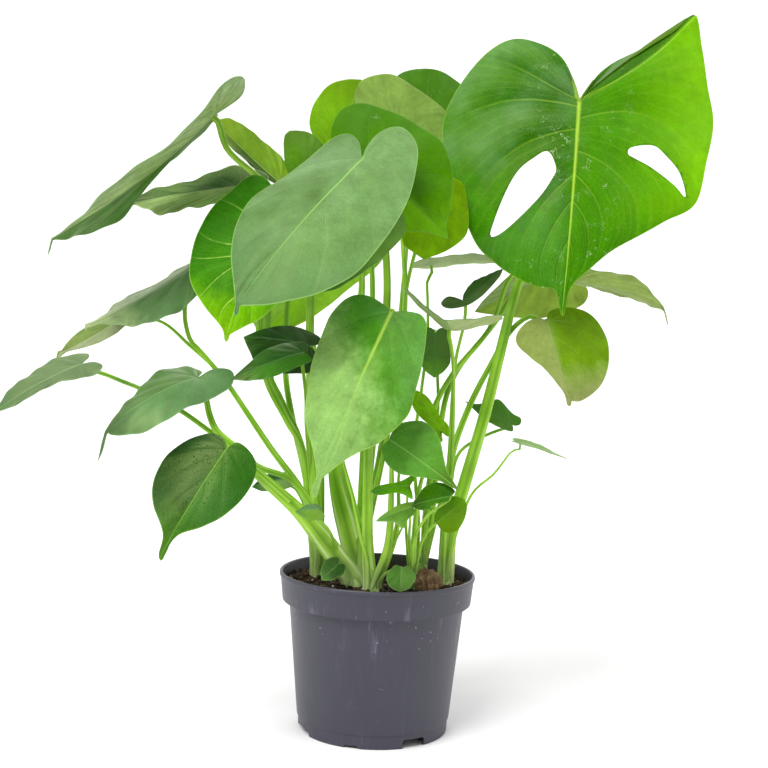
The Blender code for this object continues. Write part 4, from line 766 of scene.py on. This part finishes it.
def bend(row, shape, side, across, along, raised=0.0):
    """Place a flat blade point in space with the fold, bow, curl and drip tip of its leaf."""
    x_dir, y_dir, z_dir, length = shape
    reach = across / half_width(row, side)
    soft = math.sqrt(across * across + MIDRIB_SOFTNESS ** 2) - MIDRIB_SOFTNESS
    hang = max(0.0, along - length)  # mm of drip tip
    along = min(along, length)
    u = along / length
    angle = math.radians(fold_at(row, side, u))
    bow = row["bow"] * (4 * u * (1 - u) if u > 0 else 1.2 * u)
    lift = soft * math.sin(angle) + bow - row["curl"] * reach * reach + raised
    sign = 1 if side == 0 else -1
    # a drip tip hangs down and still leans a little the way the blade points
    droop = (y_dir * 0.35 - Vector((0, 0, 1))).normalized() * hang
    return row["base"] + x_dir * (sign * across * math.cos(angle)) + y_dir * along + z_dir * lift + droop


def midrib_share(s):
    """Where on the midrib the vein to outline share s starts."""
    first = 0.35  # the veins up to here all start at the petiole
    return max(0.0, (s - first) / (1 - first)) ** 1.1


def vein_lines(looks, side):
    """The side veins of one half: each as the outline share that it keeps to at its start, middle and end."""
    if "veins" in looks:
        return looks["veins"][side]
    # they end at even shares of the margin, and the further along, the further back they start
    count = looks["laterals"]
    ends = [0.13 + 0.80 * k / (count - 1) for k in range(count)]
    back = [clamp((e - 0.3) / 0.3) for e in ends]
    return [(e - 0.17 * b, e - 0.08 * b, e) for e, b in zip(ends, back)]


def vein_turn(lines, s, t):
    """Which side vein the point at outline share s and reach t is on or between, and the share from one to the
    next there."""
    # each vein's share at this reach, on the curve through its start, middle and end
    marks = [a * (1 - t) * (1 - 2 * t) + b * 4 * t * (1 - t) - c * t * (1 - 2 * t) for a, b, c in lines]
    k = 0
    while k < len(marks) - 2 and marks[k + 1] < s:
        k += 1
    gap = max(0.02, marks[k + 1] - marks[k])
    return k + (s - marks[k]) / gap, gap


def quilting(looks, turn, gap, t, run):
    """Height in mm of the flesh between two side veins, which bulges a little, less on narrow blades and
    between close veins."""
    puff = abs(math.sin(math.pi * turn)) ** 0.75
    return looks["quilt"] * puff * (4 * t * (1 - t)) ** 0.7 * min(1.0, run / 35, gap / 0.12)


def crease(looks, side, across, along):
    """How far in mm the flesh past a fold line of the blade leans back, where its looks name such a line."""
    if "crease" not in looks or side != looks["crease"][0]:
        return 0.0
    _, out, down, slope, sag = looks["crease"]
    far = math.hypot(out, down)
    share = clamp((across * out + along * down) / (far * far))
    past = (-along * out + across * down) / far + sag * math.sin(math.pi * share)
    return slope * (math.sqrt(max(past, 0.0) ** 2 + 4) - 2)


def make_blade(name, row, looks):
    """One blade: a grid that follows the outline, bent into place, thickened and skinned on both sides."""
    shape = blade_frame(row)
    length = shape[3]
    rows, cols = row["fine"]
    dice = random.Random(name)
    phase = [dice.uniform(0, 2 * math.pi) for _ in range(2)]
    rims = [spline([(x, y, 0) for x, y in half_outline(row, side, length)], rows, crowd=1.25)
            for side in (0, 1)]
    veins = [vein_lines(looks, side) for side in (0, 1)]
    work = bmesh.new()
    leafy = work.verts.layers.float_vector.new("blade")
    rule = work.verts.layers.float_vector.new("place")
    past = work.verts.layers.float.new("past")
    points = {}

    def point(i, j):
        """The grid point at outline step i and j steps out from the midrib, left ones counted up."""
        s = i / rows
        foot = (length + row["drip"]) * midrib_share(s)
        key = (0, 0) if i == 0 or (j == 0 and foot == 0) else (rows, 0) if i == rows else (i, j)
        if key in points:
            return points[key]
        side, sign = (0, 1) if j >= 0 else (1, -1)
        t = (abs(j) / cols) ** 1.3  # reach from the midrib to the margin, with closer steps at the midrib
        rim = rims[side][i]
        along = foot + (rim.y - foot) * t
        across = rim.x * t
        run = math.hypot(rim.x, rim.y - foot)  # mm from the midrib to the margin along a side vein
        along -= VEIN_ARCH * run * math.sin(math.pi * t) * min(1.0, s / 0.2, (1 - s) / 0.1)
        # broad waves and finer ones, 2.6 and 7.3 of them along a margin, lower on narrow blades
        ripple = math.sin(2 * math.pi * 2.6 * s + phase[side]) * t ** 3 * min(1.6, run / 45)
        ripple += 0.35 * math.sin(2 * math.pi * 7.3 * s + 2 * phase[side]) * t ** 2 * min(1.0, run / 30)
        turn, gap = vein_turn(veins[side], s, t)
        # mm to the grid line before, from which the distance between side veins follows
        back = (length + row["drip"]) * (midrib_share(s) - midrib_share(s - 1 / rows))
        step = (rim - rims[side][max(0, i - 1)]).length * t + (1 - t) * back
        deepening = clamp((along - 8) / 20)
        behind = crease(looks, side, across, along)
        sunk = looks["channel"] * deepening * math.exp(-(across / 9) ** 2) + behind
        raised = quilting(looks, turn, gap, t, run) + looks["wave"] * ripple - sunk
        vert = work.verts.new(bend(row, shape, side, across, along, raised) * MM)
        vert[leafy] = (turn, sign * t, along / length)
        vert[rule] = (sign * across, max(1.0, step * rows * gap), (1 - t) * run)
        vert[past] = behind
        points[key] = vert
        return vert

    for i in range(rows):
        for j in range(-cols, cols):
            ring = [point(i, j), point(i, j + 1), point(i + 1, j + 1), point(i + 1, j)]
            if len(set(ring)) > 2:
                work.faces.new(dict.fromkeys(ring))
    # the top has to face the way the row says
    work.normal_update()
    middle = sum((f.normal * f.calc_area() for f in work.faces), Vector())
    if middle.dot(shape[2]) < 0:
        bmesh.ops.reverse_faces(work, faces=work.faces)
    obj = link(name + "_blade", mesh_of(name, work))
    for top in (True, False):
        obj.data.materials.append(blade_skin(name, looks, top))
    solid = obj.modifiers.new("Thickness", "SOLIDIFY")
    solid.thickness = BLADE * BLADE_SHARE * MM
    solid.offset = -1.0
    solid.material_offset = 1
    settle(obj)
    smooth(obj, BLADE_SMOOTHING)
    return obj


def cut_holes(obj, row):
    """The natural holes of the largest blade, with flat prisms square to it."""
    x_dir, y_dir, z_dir, _ = blade_frame(row)
    deep = 45  # mm to either side of the flat blade
    for sign, outline, fold in zip((1, -1), HOLES, row["fold"]):
        ring = spline([(x, y, 0) for x, y in spots(outline)], 70, closed=True)[:-1]
        flat = math.cos(math.radians(fold))
        work = bmesh.new()
        verts = [work.verts.new((row["base"] + x_dir * (sign * p.x * flat) + y_dir * p.y - z_dir * deep) * MM)
                 for p in ring]
        grown = bmesh.ops.extrude_face_region(work, geom=[work.faces.new(verts)])
        moved = [g for g in grown["geom"] if isinstance(g, bmesh.types.BMVert)]
        bmesh.ops.translate(work, verts=moved, vec=z_dir * (2 * deep * MM))
        combine(obj, "DIFFERENCE", closed("hole_cutter", work))
    smooth(obj, BLADE_SMOOTHING)


# stems
def petiole_line(clump, name, start, way):
    """A petiole's line from the soil, or from the one it forks off, through its way points to its blade."""
    row = BLADES[name]
    _, y_dir, z_dir, length = blade_frame(row)
    # the petiole meets the bowed midrib square and ends half a thickness under it
    up = (z_dir - y_dir * (2.6 * row["bow"] / length)).normalized()
    seat = row["base"] - up * (BLADE * 0.5)
    foot = [] if name in FORKED else foot_points(clump, way, start)
    return fine_line(foot + way + [seat - up * PETIOLE_RUN_IN, seat])


def foot_points(clump, way, start):
    """The first points of a shoot, in the soil and just over it, on its own side of the clump's foot."""
    x, y, radius = CLUMPS[clump]
    lean = Vector((way[0].x - x, way[0].y - y, 0))
    shift = lean.normalized() * max(0.0, radius - start) * 0.8 if lean.length > 1 else Vector((0, 0, 0))
    return [Vector((x, y, SOIL_TOP - 7.5)) + shift, Vector((x, y, FOOT_TOP + 3)) + shift]


def fine_line(points):
    """Smooth line through the points in steps of about 6 mm."""
    far = sum((q - p).length for p, q in zip(points, points[1:]))
    return spline(points, max(12, round(far / 6)))


def stalk(name, line, radius, sides, sheath=0.0, turned=0.0):
    """A closed tube along a line; radius is a function of the share of its length. Its channel is deep with
    raised wings over the first part of the line, as far as sheath says, and shallow after it."""
    work = bmesh.new()
    rule = work.verts.layers.float_vector.new("place")
    last = len(line) - 1
    side_way = Vector((math.sin(turned), -math.cos(turned), 0.2))
    rings = []
    far = 0.0
    for i, spot in enumerate(line):
        ahead = (line[min(i + 1, last)] - line[max(i - 1, 0)]).normalized()
        side_way = (side_way - ahead * side_way.dot(ahead)).normalized()
        other = ahead.cross(side_way)
        far += (spot - line[i - 1]).length if i else 0.0
        open_foot = clamp((sheath - far) / 40) if sheath else 0.0
        ring = []
        for k in range(sides):
            turn = 2 * math.pi * k / sides
            off = (turn + math.pi) % (2 * math.pi) - math.pi
            # shares of the radius; off is the angle from the channel in radians
            channel = (0.10 + 0.42 * open_foot) * math.exp(-(off / 0.42) ** 2)
            wing = 0.22 * open_foot * math.exp(-((abs(off) - 0.75) / 0.22) ** 2)
            r = radius(i / last) * (1 - channel + wing)
            broad = 1 + 0.22 * open_foot
            out = side_way * (math.cos(turn) / broad) + other * (math.sin(turn) * broad)
            vert = work.verts.new((spot + out * r) * MM)
            vert[rule] = (off / math.pi, open_foot, far)
            ring.append(vert)
        rings.append(ring)
    tube(work, rings)
    return closed(name, work)


def make_clump(name, skin):
    """One seedling: its foot in the soil with all its petioles and young shoots grown together."""
    x, y, radius = CLUMPS[name]
    dice = random.Random(name)
    low = SOIL_TOP - 8
    foot = [Vector((x, y, low + (STUB_TOP - low) * k / 8)) for k in range(9)]
    obj = stalk(name + "_grown", foot, lambda s: radius * (1 - 0.6 * s ** 3), 24)
    # each shoot: its line, its radius at both ends and how far its sheath stays open
    runs = []
    for blade_name, start, end, text in PETIOLES[name]:
        line = petiole_line(name, blade_name, start, [Vector(p) for p in spots(text)])
        runs.append((line, start, end, 0.0 if blade_name in FORKED else start * 12))
    for start, end, text in YOUNG_SHOOTS if name == "stem_front" else ():
        way = [Vector(p) for p in spots(text)]
        runs.append((fine_line(foot_points(name, way, start) + way), start, end, start * 9))
    shoots = bpy.data.collections.new(name + "_shoots")
    bpy.context.scene.collection.children.link(shoots)
    for i, (line, start, end, sheath) in enumerate(runs):
        def radius_at(s, start=start, end=end):
            """Radius at share s: thicker at the soil and at the knee under the blade."""
            knee = 1 + 0.18 * math.exp(-((s - 0.97) / 0.02) ** 2)
            flare = 1 + 0.10 * max(0.0, 1 - s / 0.08)
            return (start + (end - start) * s * s * (3 - 2 * s)) * knee * flare
        shoot = stalk(name + "_shoot_" + str(i), line, radius_at, SIDES, sheath, dice.uniform(-0.9, 0.9))
        bpy.context.scene.collection.objects.unlink(shoot)
        shoots.objects.link(shoot)
    combine(obj, "UNION", shoots)
    obj.data.materials.clear()
    obj.data.materials.append(skin)
    smooth(obj, 60)
    return obj


def stem_skin():
    """Fresh petiole: a juicy ribbed stem, so the eye sees a satin skin with fine lengthwise streaks, almost
    white at the foot, vivid yellow-green above it, its channel painted darker as painted shade, and pale thin
    margins along its open sheath, partly their own pale tissue and partly painted highlight."""
    mat, add = blank("fresh_petiole")
    where = add("TexCoord", out=3)
    rule = add("Attribute", attribute_name="place", out=1)
    around, sheath, _ = add("SeparateXYZ", rule, out=None)
    height = add("SeparateXYZ", where, out=2)
    long_way = add("Mapping", rule, Scale=(9.0, 0.0, 0.012))
    streak = add("TexNoise", long_way, Scale=1.6, Detail=3.0)
    patch = add("TexNoise", where, Scale=24.0, Detail=2.0)
    off = add("Math ABSOLUTE", around)
    # the last layer paints each stem's channel darker green: painted shade in the groove
    green = tinted(add, "DAECAC", (height, 0.128, 0.160, 1.0, "B2E04C"), (height, 0.160, 0.240, 1.0, "A0D82E"),
                   (height, 0.260, 0.460, 1.0, "9CCC3E"), (streak, 0.45, 0.66, 0.6, "D2EA86"),
                   (patch, 0.44, 0.74, 0.6, "4E8E14"), (off, 0.16, 0.0, 0.55, "3A7A0E"))
    # the thin margins of the sheath, on both sides of its channel: partly their own paler tissue, partly a
    # painted highlight of light shining through their edges
    margin = add("MapRange", add("Math SUBTRACT", off, 0.23), 0.0, 0.05, 1.0, 0.0)
    margin = add("Math MULTIPLY", margin, add("MapRange", off, 0.18, 0.22))
    margin = add("Math MULTIPLY", margin, sheath)
    green = add("MixRGB", margin, green, "E2F0B4")
    bump = add("Bump", Strength=0.5, Distance=0.0006, Height=streak)
    skin = add("BsdfPrincipled", green, Roughness=0.34, Specular_IOR_Level=0.5, Specular_Tint=WAX,
               Normal=bump)
    light = add("BsdfTranslucent", green)
    add("OutputMaterial", add("MixShader", 0.33, skin, light), out=None)
    return mat


# pot
def turned(name, profile, steps):
    """Revolve a profile of (radius, height) around the z axis."""
    work = bmesh.new()
    verts = [work.verts.new((r * MM, 0, z * MM)) for r, z in profile]
    for a, b in zip(verts, verts[1:]):
        work.edges.new((a, b))
    obj = link(name, mesh_of(name, work))
    turn = obj.modifiers.new("Turn", "SCREW")
    turn.steps = turn.render_steps = steps
    turn.use_merge_vertices = True
    turn.merge_threshold = 0.00001
    settle(obj)
    work = bmesh.new()
    work.from_mesh(obj.data)
    bmesh.ops.remove_doubles(work, verts=work.verts, dist=1e-6)
    bmesh.ops.recalc_face_normals(work, faces=work.faces)
    obj.data = mesh_of(name, work)
    return obj


def wall_radius(z):
    """Outer radius of the plain wall at height z."""
    top = POT_HEIGHT - BAND_HEIGHT
    return FOOT_RADIUS + (WALL_TOP_RADIUS - FOOT_RADIUS) * z / top


def rounded(profile, radius, steps=3):
    """The profile with its corners rounded off."""
    out = [profile[0]]
    for a, b, c in zip(profile, profile[1:], profile[2:]):
        a, b, c = Vector(a), Vector(b), Vector(c)
        one, two = a - b, c - b
        r = min(radius, one.length * 0.4, two.length * 0.4)
        start, end = b + one.normalized() * r, b + two.normalized() * r
        for k in range(steps + 1):
            t = k / steps
            out.append(tuple(start * (1 - t) ** 2 + b * 2 * t * (1 - t) + end * t * t))
    return out + [profile[-1]]


def make_pot():
    """The pot: one turned body with small radii, and notches cut through its foot."""
    band_low = POT_HEIGHT - BAND_HEIGHT
    profile = [
        (0, FOOT_HEIGHT + FLOOR_THICKNESS),
        (wall_radius(FOOT_HEIGHT) - WALL, FOOT_HEIGHT + FLOOR_THICKNESS),
        (WALL_TOP_RADIUS - WALL, band_low - 1),
        (BAND_FOOT_RADIUS - WALL - 1, band_low + 3),
        (RIM_RADIUS - WALL - 0.6, POT_HEIGHT - 0.8),
        (RIM_RADIUS - WALL, POT_HEIGHT),
        (RIM_RADIUS - 0.5, POT_HEIGHT),
        (RIM_RADIUS, POT_HEIGHT - 0.8),
        (RIM_RADIUS, POT_HEIGHT - 3.5),
        (RIM_RADIUS - 0.9, POT_HEIGHT - 4.3),
        (BAND_FOOT_RADIUS, band_low + 0.6),
        (BAND_FOOT_RADIUS - 0.8, band_low),
        (WALL_TOP_RADIUS + 0.6, band_low - 0.4),
        (WALL_TOP_RADIUS, band_low - 1.2),
        (wall_radius(FOOT_HEIGHT + 3) + 0.3, FOOT_HEIGHT + 3),
        (wall_radius(FOOT_HEIGHT + 2) - 0.6, FOOT_HEIGHT + 2),
        (FOOT_RADIUS, 0.6),
        (FOOT_RADIUS - 0.6, 0),
        (FOOT_RADIUS - 2.6, 0),
        (FOOT_RADIUS - 3.4, FOOT_HEIGHT),
        (0, FOOT_HEIGHT),
    ]
    obj = turned("nursery_pot", rounded(profile, 0.7), POT_STEPS)
    for centre, width, deep in NOTCHES:
        half = FOOT_RADIUS * math.tan(math.radians(width / 2))
        work = bmesh.new()
        bmesh.ops.create_cube(work, size=1.0)
        for vert in work.verts:
            x, y, z = vert.co
            vert.co = (x * 2 * half, y * 16 - FOOT_RADIUS, (z + 0.5) * (deep + 3) - 3)
        bmesh.ops.bevel(work, geom=work.edges[:], offset=1.2, segments=3, affect="EDGES")
        turn = Matrix.Rotation(math.radians(centre), 3, "Z")
        bmesh.ops.rotate(work, verts=work.verts, cent=(0, 0, 0), matrix=turn)
        bmesh.ops.scale(work, verts=work.verts, vec=(MM, MM, MM))
        combine(obj, "DIFFERENCE", closed("notch_cutter", work))
    smooth(obj, 35)
    obj.data.materials.clear()
    obj.data.materials.append(pot_plastic())
    return obj


def pot_plastic():
    """Recycled polypropylene, injection moulded: a dull satin blue-grey skin, nearly even, with a few pale
    scuffs and chalky dried water mostly under the rim, and the inside of the rim darker brown towards the
    soil."""
    mat, add = blank("recycled_polypropylene")
    where = add("TexCoord", out=3)
    x, y, z = add("SeparateXYZ", where, out=None)
    upright = add("Mapping", where, Scale=(1.0, 1.0, 0.12))
    flow = add("TexNoise", upright, Scale=160.0, Detail=3.0, Roughness=0.6)
    patch = add("TexNoise", where, Scale=20.0, Detail=4.0, Roughness=0.6)
    grain = add("TexNoise", where, Scale=1600.0, Detail=2.0)
    residue = add("TexNoise", upright, Scale=90.0, Detail=4.0, Roughness=0.7)
    nicks = add("TexNoise", where, Scale=170.0, Detail=2.0, Distortion=1.5)
    grey = tinted(add, "302F3B", (patch, 0.3, 0.7, 1.0, "343340"))
    under_band = add("MapRange", add("Math COMPARE", z, 0.104, 0.020), 0.0, 1.0, 0.25, 1.0)
    for pattern, low, high, much, code in ((flow, 0.50, 0.75, 0.25, "4B4957"),
                                           (residue, 0.56, 0.74, 0.35, "86849A"),
                                           (nicks, 0.71, 0.74, 0.55, "9A98A4")):
        part = add("MapRange", pattern, low, high, 0.0, much, interpolation_type="SMOOTHSTEP")
        part = add("Math MULTIPLY", part, under_band)
        grey = add("MixRGB", part, grey, code)
    # inside the rim: a darker brown, strong near the soil and faint at the lip
    far = add("VectorMath LENGTH", add("CombineXYZ", x, y), out=1)
    inner = add("Math LESS_THAN", far, add("Math MULTIPLY_ADD", z, 0.135, 0.0650))
    inner = add("Math MULTIPLY", inner, add("Math GREATER_THAN", z, 0.114))
    inner_darkening = add("Math MULTIPLY", add("MapRange", z, 0.1365, 0.128, 0.15, 0.95), inner)
    inner_darkening = add("Math MULTIPLY", inner_darkening, add("MapRange", patch, 0.3, 0.6, 0.6, 1.0))
    grey = add("MixRGB", inner_darkening, grey, "1C1612")
    dull = add("Math MULTIPLY_ADD", patch, 0.15, 0.36)
    tall = add("Math MULTIPLY_ADD", grain, 0.25, flow)
    bump = add("Bump", Strength=0.3, Distance=0.0003, Height=tall)
    skin = add("BsdfPrincipled", grey, Roughness=dull, IOR=1.49, Normal=bump)
    add("OutputMaterial", skin, out=None)
    return mat


# soil
def soil_edge():
    """Radius at which the soil meets the slanted inside of the rim band."""
    slope_top = (SOIL_TOP - 1.5 - (POT_HEIGHT - BAND_HEIGHT + 3)) / (BAND_HEIGHT - 3.8)
    return BAND_FOOT_RADIUS - 1 + (RIM_RADIUS - 0.6 - BAND_FOOT_RADIUS + 1) * slope_top - WALL - SOIL_GAP


def soil_height(x, y):
    """Lumpy top of the soil in mm."""
    spot = Vector((x * 0.05, y * 0.05, 3.0))
    near = min(math.hypot(x - cx, y - cy) - cr for cx, cy, cr in CLUMPS.values())
    heap = 2.2 * math.exp(-(max(0.0, near) / 6) ** 2)
    rough = 2.2 * noise.noise(spot) + 1.1 * noise.noise(spot * 3.7) + 0.5 * noise.noise(spot * 9.0)
    return SOIL_TOP + heap + rough


def make_soil(mat):
    """The bed of potting mix: a lumpy top that closes to a flat underside inside the pot."""
    edge = soil_edge() - 0.3
    turns, across = 150, 46
    low = SOIL_TOP - 9
    work = bmesh.new()

    def ring(r, z=None):
        """Points around the bed, on its lumpy top or at height z."""
        flat = [(r * math.cos(a), r * math.sin(a)) for a in (2 * math.pi * k / turns for k in range(turns))]
        return [work.verts.new((x * MM, y * MM, (soil_height(x, y) if z is None else z) * MM))
                for x, y in flat]

    rows = [ring(edge * i / across) for i in range(1, across + 1)] + [ring(edge - 1.2, low)]
    top = work.verts.new((0, 0, soil_height(0, 0) * MM))
    bottom = work.verts.new((0, 0, low * MM))
    for a, b in zip(rows, rows[1:]):
        for k in range(turns):
            n = (k + 1) % turns
            work.faces.new((a[k], b[k], b[n], a[n]))
    for k in range(turns):
        n = (k + 1) % turns
        work.faces.new((top, rows[0][k], rows[0][n]))
        work.faces.new((bottom, rows[-1][n], rows[-1][k]))
    return closed("soil_bed", work, mat, 180)


def free_spot(dice, edge):
    """A place on the soil clear of the stem stubs."""
    while True:
        a, r = dice.uniform(0, 2 * math.pi), edge * math.sqrt(dice.random())
        x, y = r * math.cos(a), r * math.sin(a)
        if all(math.hypot(x - cx, y - cy) > cr + 0.5 for cx, cy, cr in CLUMPS.values()):
            return x, y


def scatter(name, count, sizes, seed, mat):
    """Many small dented bits lying on the soil, as one mesh."""
    dice = random.Random(seed)
    work = bmesh.new()
    for _ in range(count):
        size = sizes[0] + (sizes[1] - sizes[0]) * dice.random() ** 2.5
        x, y = free_spot(dice, soil_edge() - 1.5)
        made = bmesh.ops.create_icosphere(work, subdivisions=1, radius=size / 2 * MM)["verts"]
        for vert in made:
            vert.co *= 1 + dice.uniform(-0.28, 0.28)
        shape = (dice.uniform(0.8, 1.5), dice.uniform(0.7, 1.1), dice.uniform(0.6, 1.0))
        bmesh.ops.scale(work, verts=made, vec=shape)
        spin = Matrix.Rotation(dice.uniform(0, 6.28), 3, "Z")
        spin = spin @ Matrix.Rotation(dice.uniform(-0.5, 0.5), 3, "X")
        bmesh.ops.rotate(work, verts=made, cent=(0, 0, 0), matrix=spin)
        bmesh.ops.translate(work, verts=made, vec=Vector((x, y, soil_height(x, y) + size * 0.25)) * MM)
    return closed(name, work, mat)


def make_fibres(mat):
    """Thin brown coir and root threads lying on the soil."""
    dice = random.Random(11)
    work = bmesh.new()
    for _ in range(FIBRES):
        x, y = free_spot(dice, soil_edge() - 6)
        turn = dice.uniform(0, 2 * math.pi)
        arc = dice.uniform(-0.12, 0.12)
        line = []
        for k in range(7):
            line.append(Vector((x, y, soil_height(x, y) + 0.9 + 0.5 * math.sin(k))))
            x += math.cos(turn) * 1.6
            y += math.sin(turn) * 1.6
            turn += arc * 4
        rings = []
        for i, spot in enumerate(line):
            ahead = (line[min(i + 1, 6)] - line[max(i - 1, 0)]).normalized()
            wide = ahead.cross(Vector((0, 0, 1))).normalized()
            tall = wide.cross(ahead)
            r = 0.3 if 0 < i < 6 else 0.12
            rings.append([work.verts.new((spot + wide * math.cos(a) * r + tall * math.sin(a) * r) * MM)
                          for a in (0, 1.57, 3.14, 4.71)])
        tube(work, rings)
    return closed("soil_fibres", work, mat)


def crumbly(name, dark, light):
    """Peat, bark and grit: dull broken bits, each patch a little lighter or darker."""
    mat, add = blank(name)
    where = add("TexCoord", out=3)
    spot = add("TexNoise", where, Scale=300.0, Detail=4.0, Roughness=0.7)
    grain = add("TexNoise", where, Scale=1500.0, Detail=2.0)
    colour = tinted(add, dark, (spot, 0.35, 0.68, 1.0, light))
    tall = add("Math MULTIPLY_ADD", grain, 0.4, spot)
    bump = add("Bump", Strength=0.6, Distance=0.0015, Height=tall)
    skin = add("BsdfPrincipled", colour, Roughness=0.9, Specular_IOR_Level=0.25, Normal=bump)
    add("OutputMaterial", skin, out=None)
    return mat


def make_lump(name, centre, size, turn, seed, mat, folds=0):
    """The dry sheath stub or the chunk of bark: a dented ball pressed to a long shape, with fine wrinkles.
    folds runs that many papery pleats round it and frays its top."""
    dice = random.Random(seed)
    work = bmesh.new()
    bmesh.ops.create_icosphere(work, subdivisions=2, radius=1.0)
    for vert in work.verts:
        vert.co *= 1 + dice.uniform(-0.16, 0.16) * (1.3 if folds else 1)
    bmesh.ops.subdivide_edges(work, edges=work.edges[:], cuts=5 if folds else 3, smooth=0.6,
                              use_grid_fill=True)
    place = work.verts.layers.float_vector.new("place")
    for vert in work.verts:
        way = math.atan2(vert.co.y, vert.co.x)
        ruck = noise.noise(Vector((vert.co.x * 2.5, vert.co.y * 2.5, vert.co.z * (2.0 if folds else 9.0))))
        vert[place] = (way * folds, vert.co.z, ruck)
        vert.co *= 1 + 0.09 * ruck
        if folds:
            pleat = abs(math.sin(way * folds / 2 + 2.2 * ruck + 1.2 * vert.co.z))
            vert.co.xy *= 0.74 + 0.36 * pleat
            vert.co.z += 0.45 * pleat * max(0.0, vert.co.z) - 0.2 * max(0.0, vert.co.z)
        vert.co = vert.co * Vector(size) * (MM / 2)
    spin = Matrix.Rotation(math.radians(turn), 3, "Z")
    bmesh.ops.rotate(work, verts=work.verts, cent=(0, 0, 0), matrix=spin)
    bmesh.ops.translate(work, verts=work.verts, vec=Vector(centre) * MM)
    return closed(name, work, mat, 60)


def dry_sheath():
    """Dead leaf sheath, dried on the plant: thin brown paper with lighter fibres running up it."""
    mat, add = blank("dried_leaf_sheath")
    where = add("TexCoord", out=3)
    rule = add("Attribute", attribute_name="place", out=1)
    fibre = add("TexNoise", add("Mapping", rule, Scale=(2.2, 0.5, 1.0)), Scale=3.0, Detail=4.0,
                Roughness=0.7)
    spot = add("TexNoise", where, Scale=160.0, Detail=3.0)
    brown = tinted(add, "5A432C", (spot, 0.35, 0.65, 1.0, "8A6C4A"), (fibre, 0.50, 0.68, 1.0, "C4AA80"),
                   (fibre, 0.42, 0.30, 1.0, "231710"))
    bump = add("Bump", Strength=0.7, Distance=0.0012, Height=fibre)
    skin = add("BsdfPrincipled", brown, Roughness=0.75, Specular_IOR_Level=0.3, Normal=bump)
    add("OutputMaterial", skin, out=None)
    return mat


# studio
def sun(name, energy, angle, direction):
    """A far light; angle is how broad it looks, in degrees, so a large one casts soft shadows."""
    light = bpy.data.lights.new(name, "SUN")
    light.energy = energy
    light.angle = math.radians(angle)
    link(name, light).rotation_euler = Vector(direction).to_track_quat("-Z", "Y").to_euler()


def make_studio():
    """A round white photo cove: a plain floor that sweeps up into a wall, under a pale sky, with one broad
    key light from the upper left in front and a weak soft one from behind that shines through the blades."""
    reach, bend_radius, top = 6.0, 2.4, 3.2
    turns = [math.pi / 2 * k / 16 for k in range(17)]
    sweep = [(reach - bend_radius + bend_radius * math.sin(a), bend_radius - bend_radius * math.cos(a))
             for a in turns]
    profile = [(0.0, 0.0), (1.0, 0.0)] + sweep + [(reach, top)]
    cove = turned("studio_cove", [(r / MM, z / MM) for r, z in profile], 96)
    mat, add = blank("white_cove")
    add("OutputMaterial", add("BsdfPrincipled", "DCDCDC", Roughness=0.9), out=None)
    cove.data.materials.append(mat)
    world = bpy.data.worlds.new("pale_sky")
    bpy.context.scene.world = world
    world.use_nodes = True
    sky = world.node_tree.nodes["Background"].inputs
    sky["Color"].default_value = (1.0, 1.0, 1.0, 1.0)
    sky["Strength"].default_value = 0.8
    sun("broad_key", 3.5, 34, (0.42, 0.55, -1.0))
    sun("soft_back_light", 1.6, 50, (-0.25, -0.85, -0.7))
    view = bpy.context.scene.view_settings
    view.view_transform = "Standard"
    view.look = "None"
    view.exposure = 0.0


def make_camera():
    """The photograph's view: level apart from a small downward pitch and a slight roll."""
    eye = bpy.data.cameras.new("camera")
    eye.sensor_width = 36.0
    eye.lens = LENS
    eye.clip_start, eye.clip_end = 0.05, 50
    obj = link("camera", eye)
    ahead = Vector((0, math.cos(PITCH), -math.sin(PITCH)))
    right = Vector((1, 0, 0))
    up = right.cross(ahead)
    right_rolled = right * math.cos(ROLL) + up * math.sin(ROLL)
    up_rolled = up * math.cos(ROLL) - right * math.sin(ROLL)
    turn = Matrix((right_rolled, up_rolled, -ahead)).transposed()
    obj.matrix_world = Matrix.Translation(EYE) @ turn.to_4x4()
    bpy.context.scene.camera = obj


def main():
    """Camera, studio and all pieces, from the pot up to the blades and their stems."""
    make_camera()
    make_studio()
    belongs(make_pot(), "pot")
    peat = crumbly("dark_peat", "1E1611", "46362A")
    bark = crumbly("bark_bits", "33241A", "6A523C")
    tan = crumbly("tan_grit", "7A6448", "B49C74")
    grit = crumbly("white_perlite", "B9B2A4", "EDE9E0")
    belongs(make_soil(peat), "soil")
    for name, count, sizes, seed, mat in (("soil_crumbs", 1500, (1.0, 5.5), 5, peat),
                                          ("bark_bits", 220, (1.5, 5.5), 6, bark),
                                          ("tan_bits", 240, (1.0, 3.8), 9, tan),
                                          ("perlite", 120, (0.9, 3.4), 8, grit)):
        belongs(scatter(name, count, sizes, seed, mat), None)
    belongs(make_fibres(crumbly("coir_threads", "5A4028", "8C6A44")), None)
    husk = make_lump("dry_stub_husk", (43, -42, 137.2), (21, 16, 20), 20, 3, dry_sheath(), 9)
    belongs(husk, "dry_stub")
    belongs(make_lump("bark_piece", (-14, -68, 131.4), (16, 9, 6), 15, 5, bark), "bark_chunk")
    for name, row in BLADES.items():
        obj = make_blade(name, row, LOOKS[name])
        if name == "leaf_01":
            cut_holes(obj, row)
        belongs(obj, name)
    skin = stem_skin()
    for name in CLUMPS:
        belongs(make_clump(name, skin), name)


main()
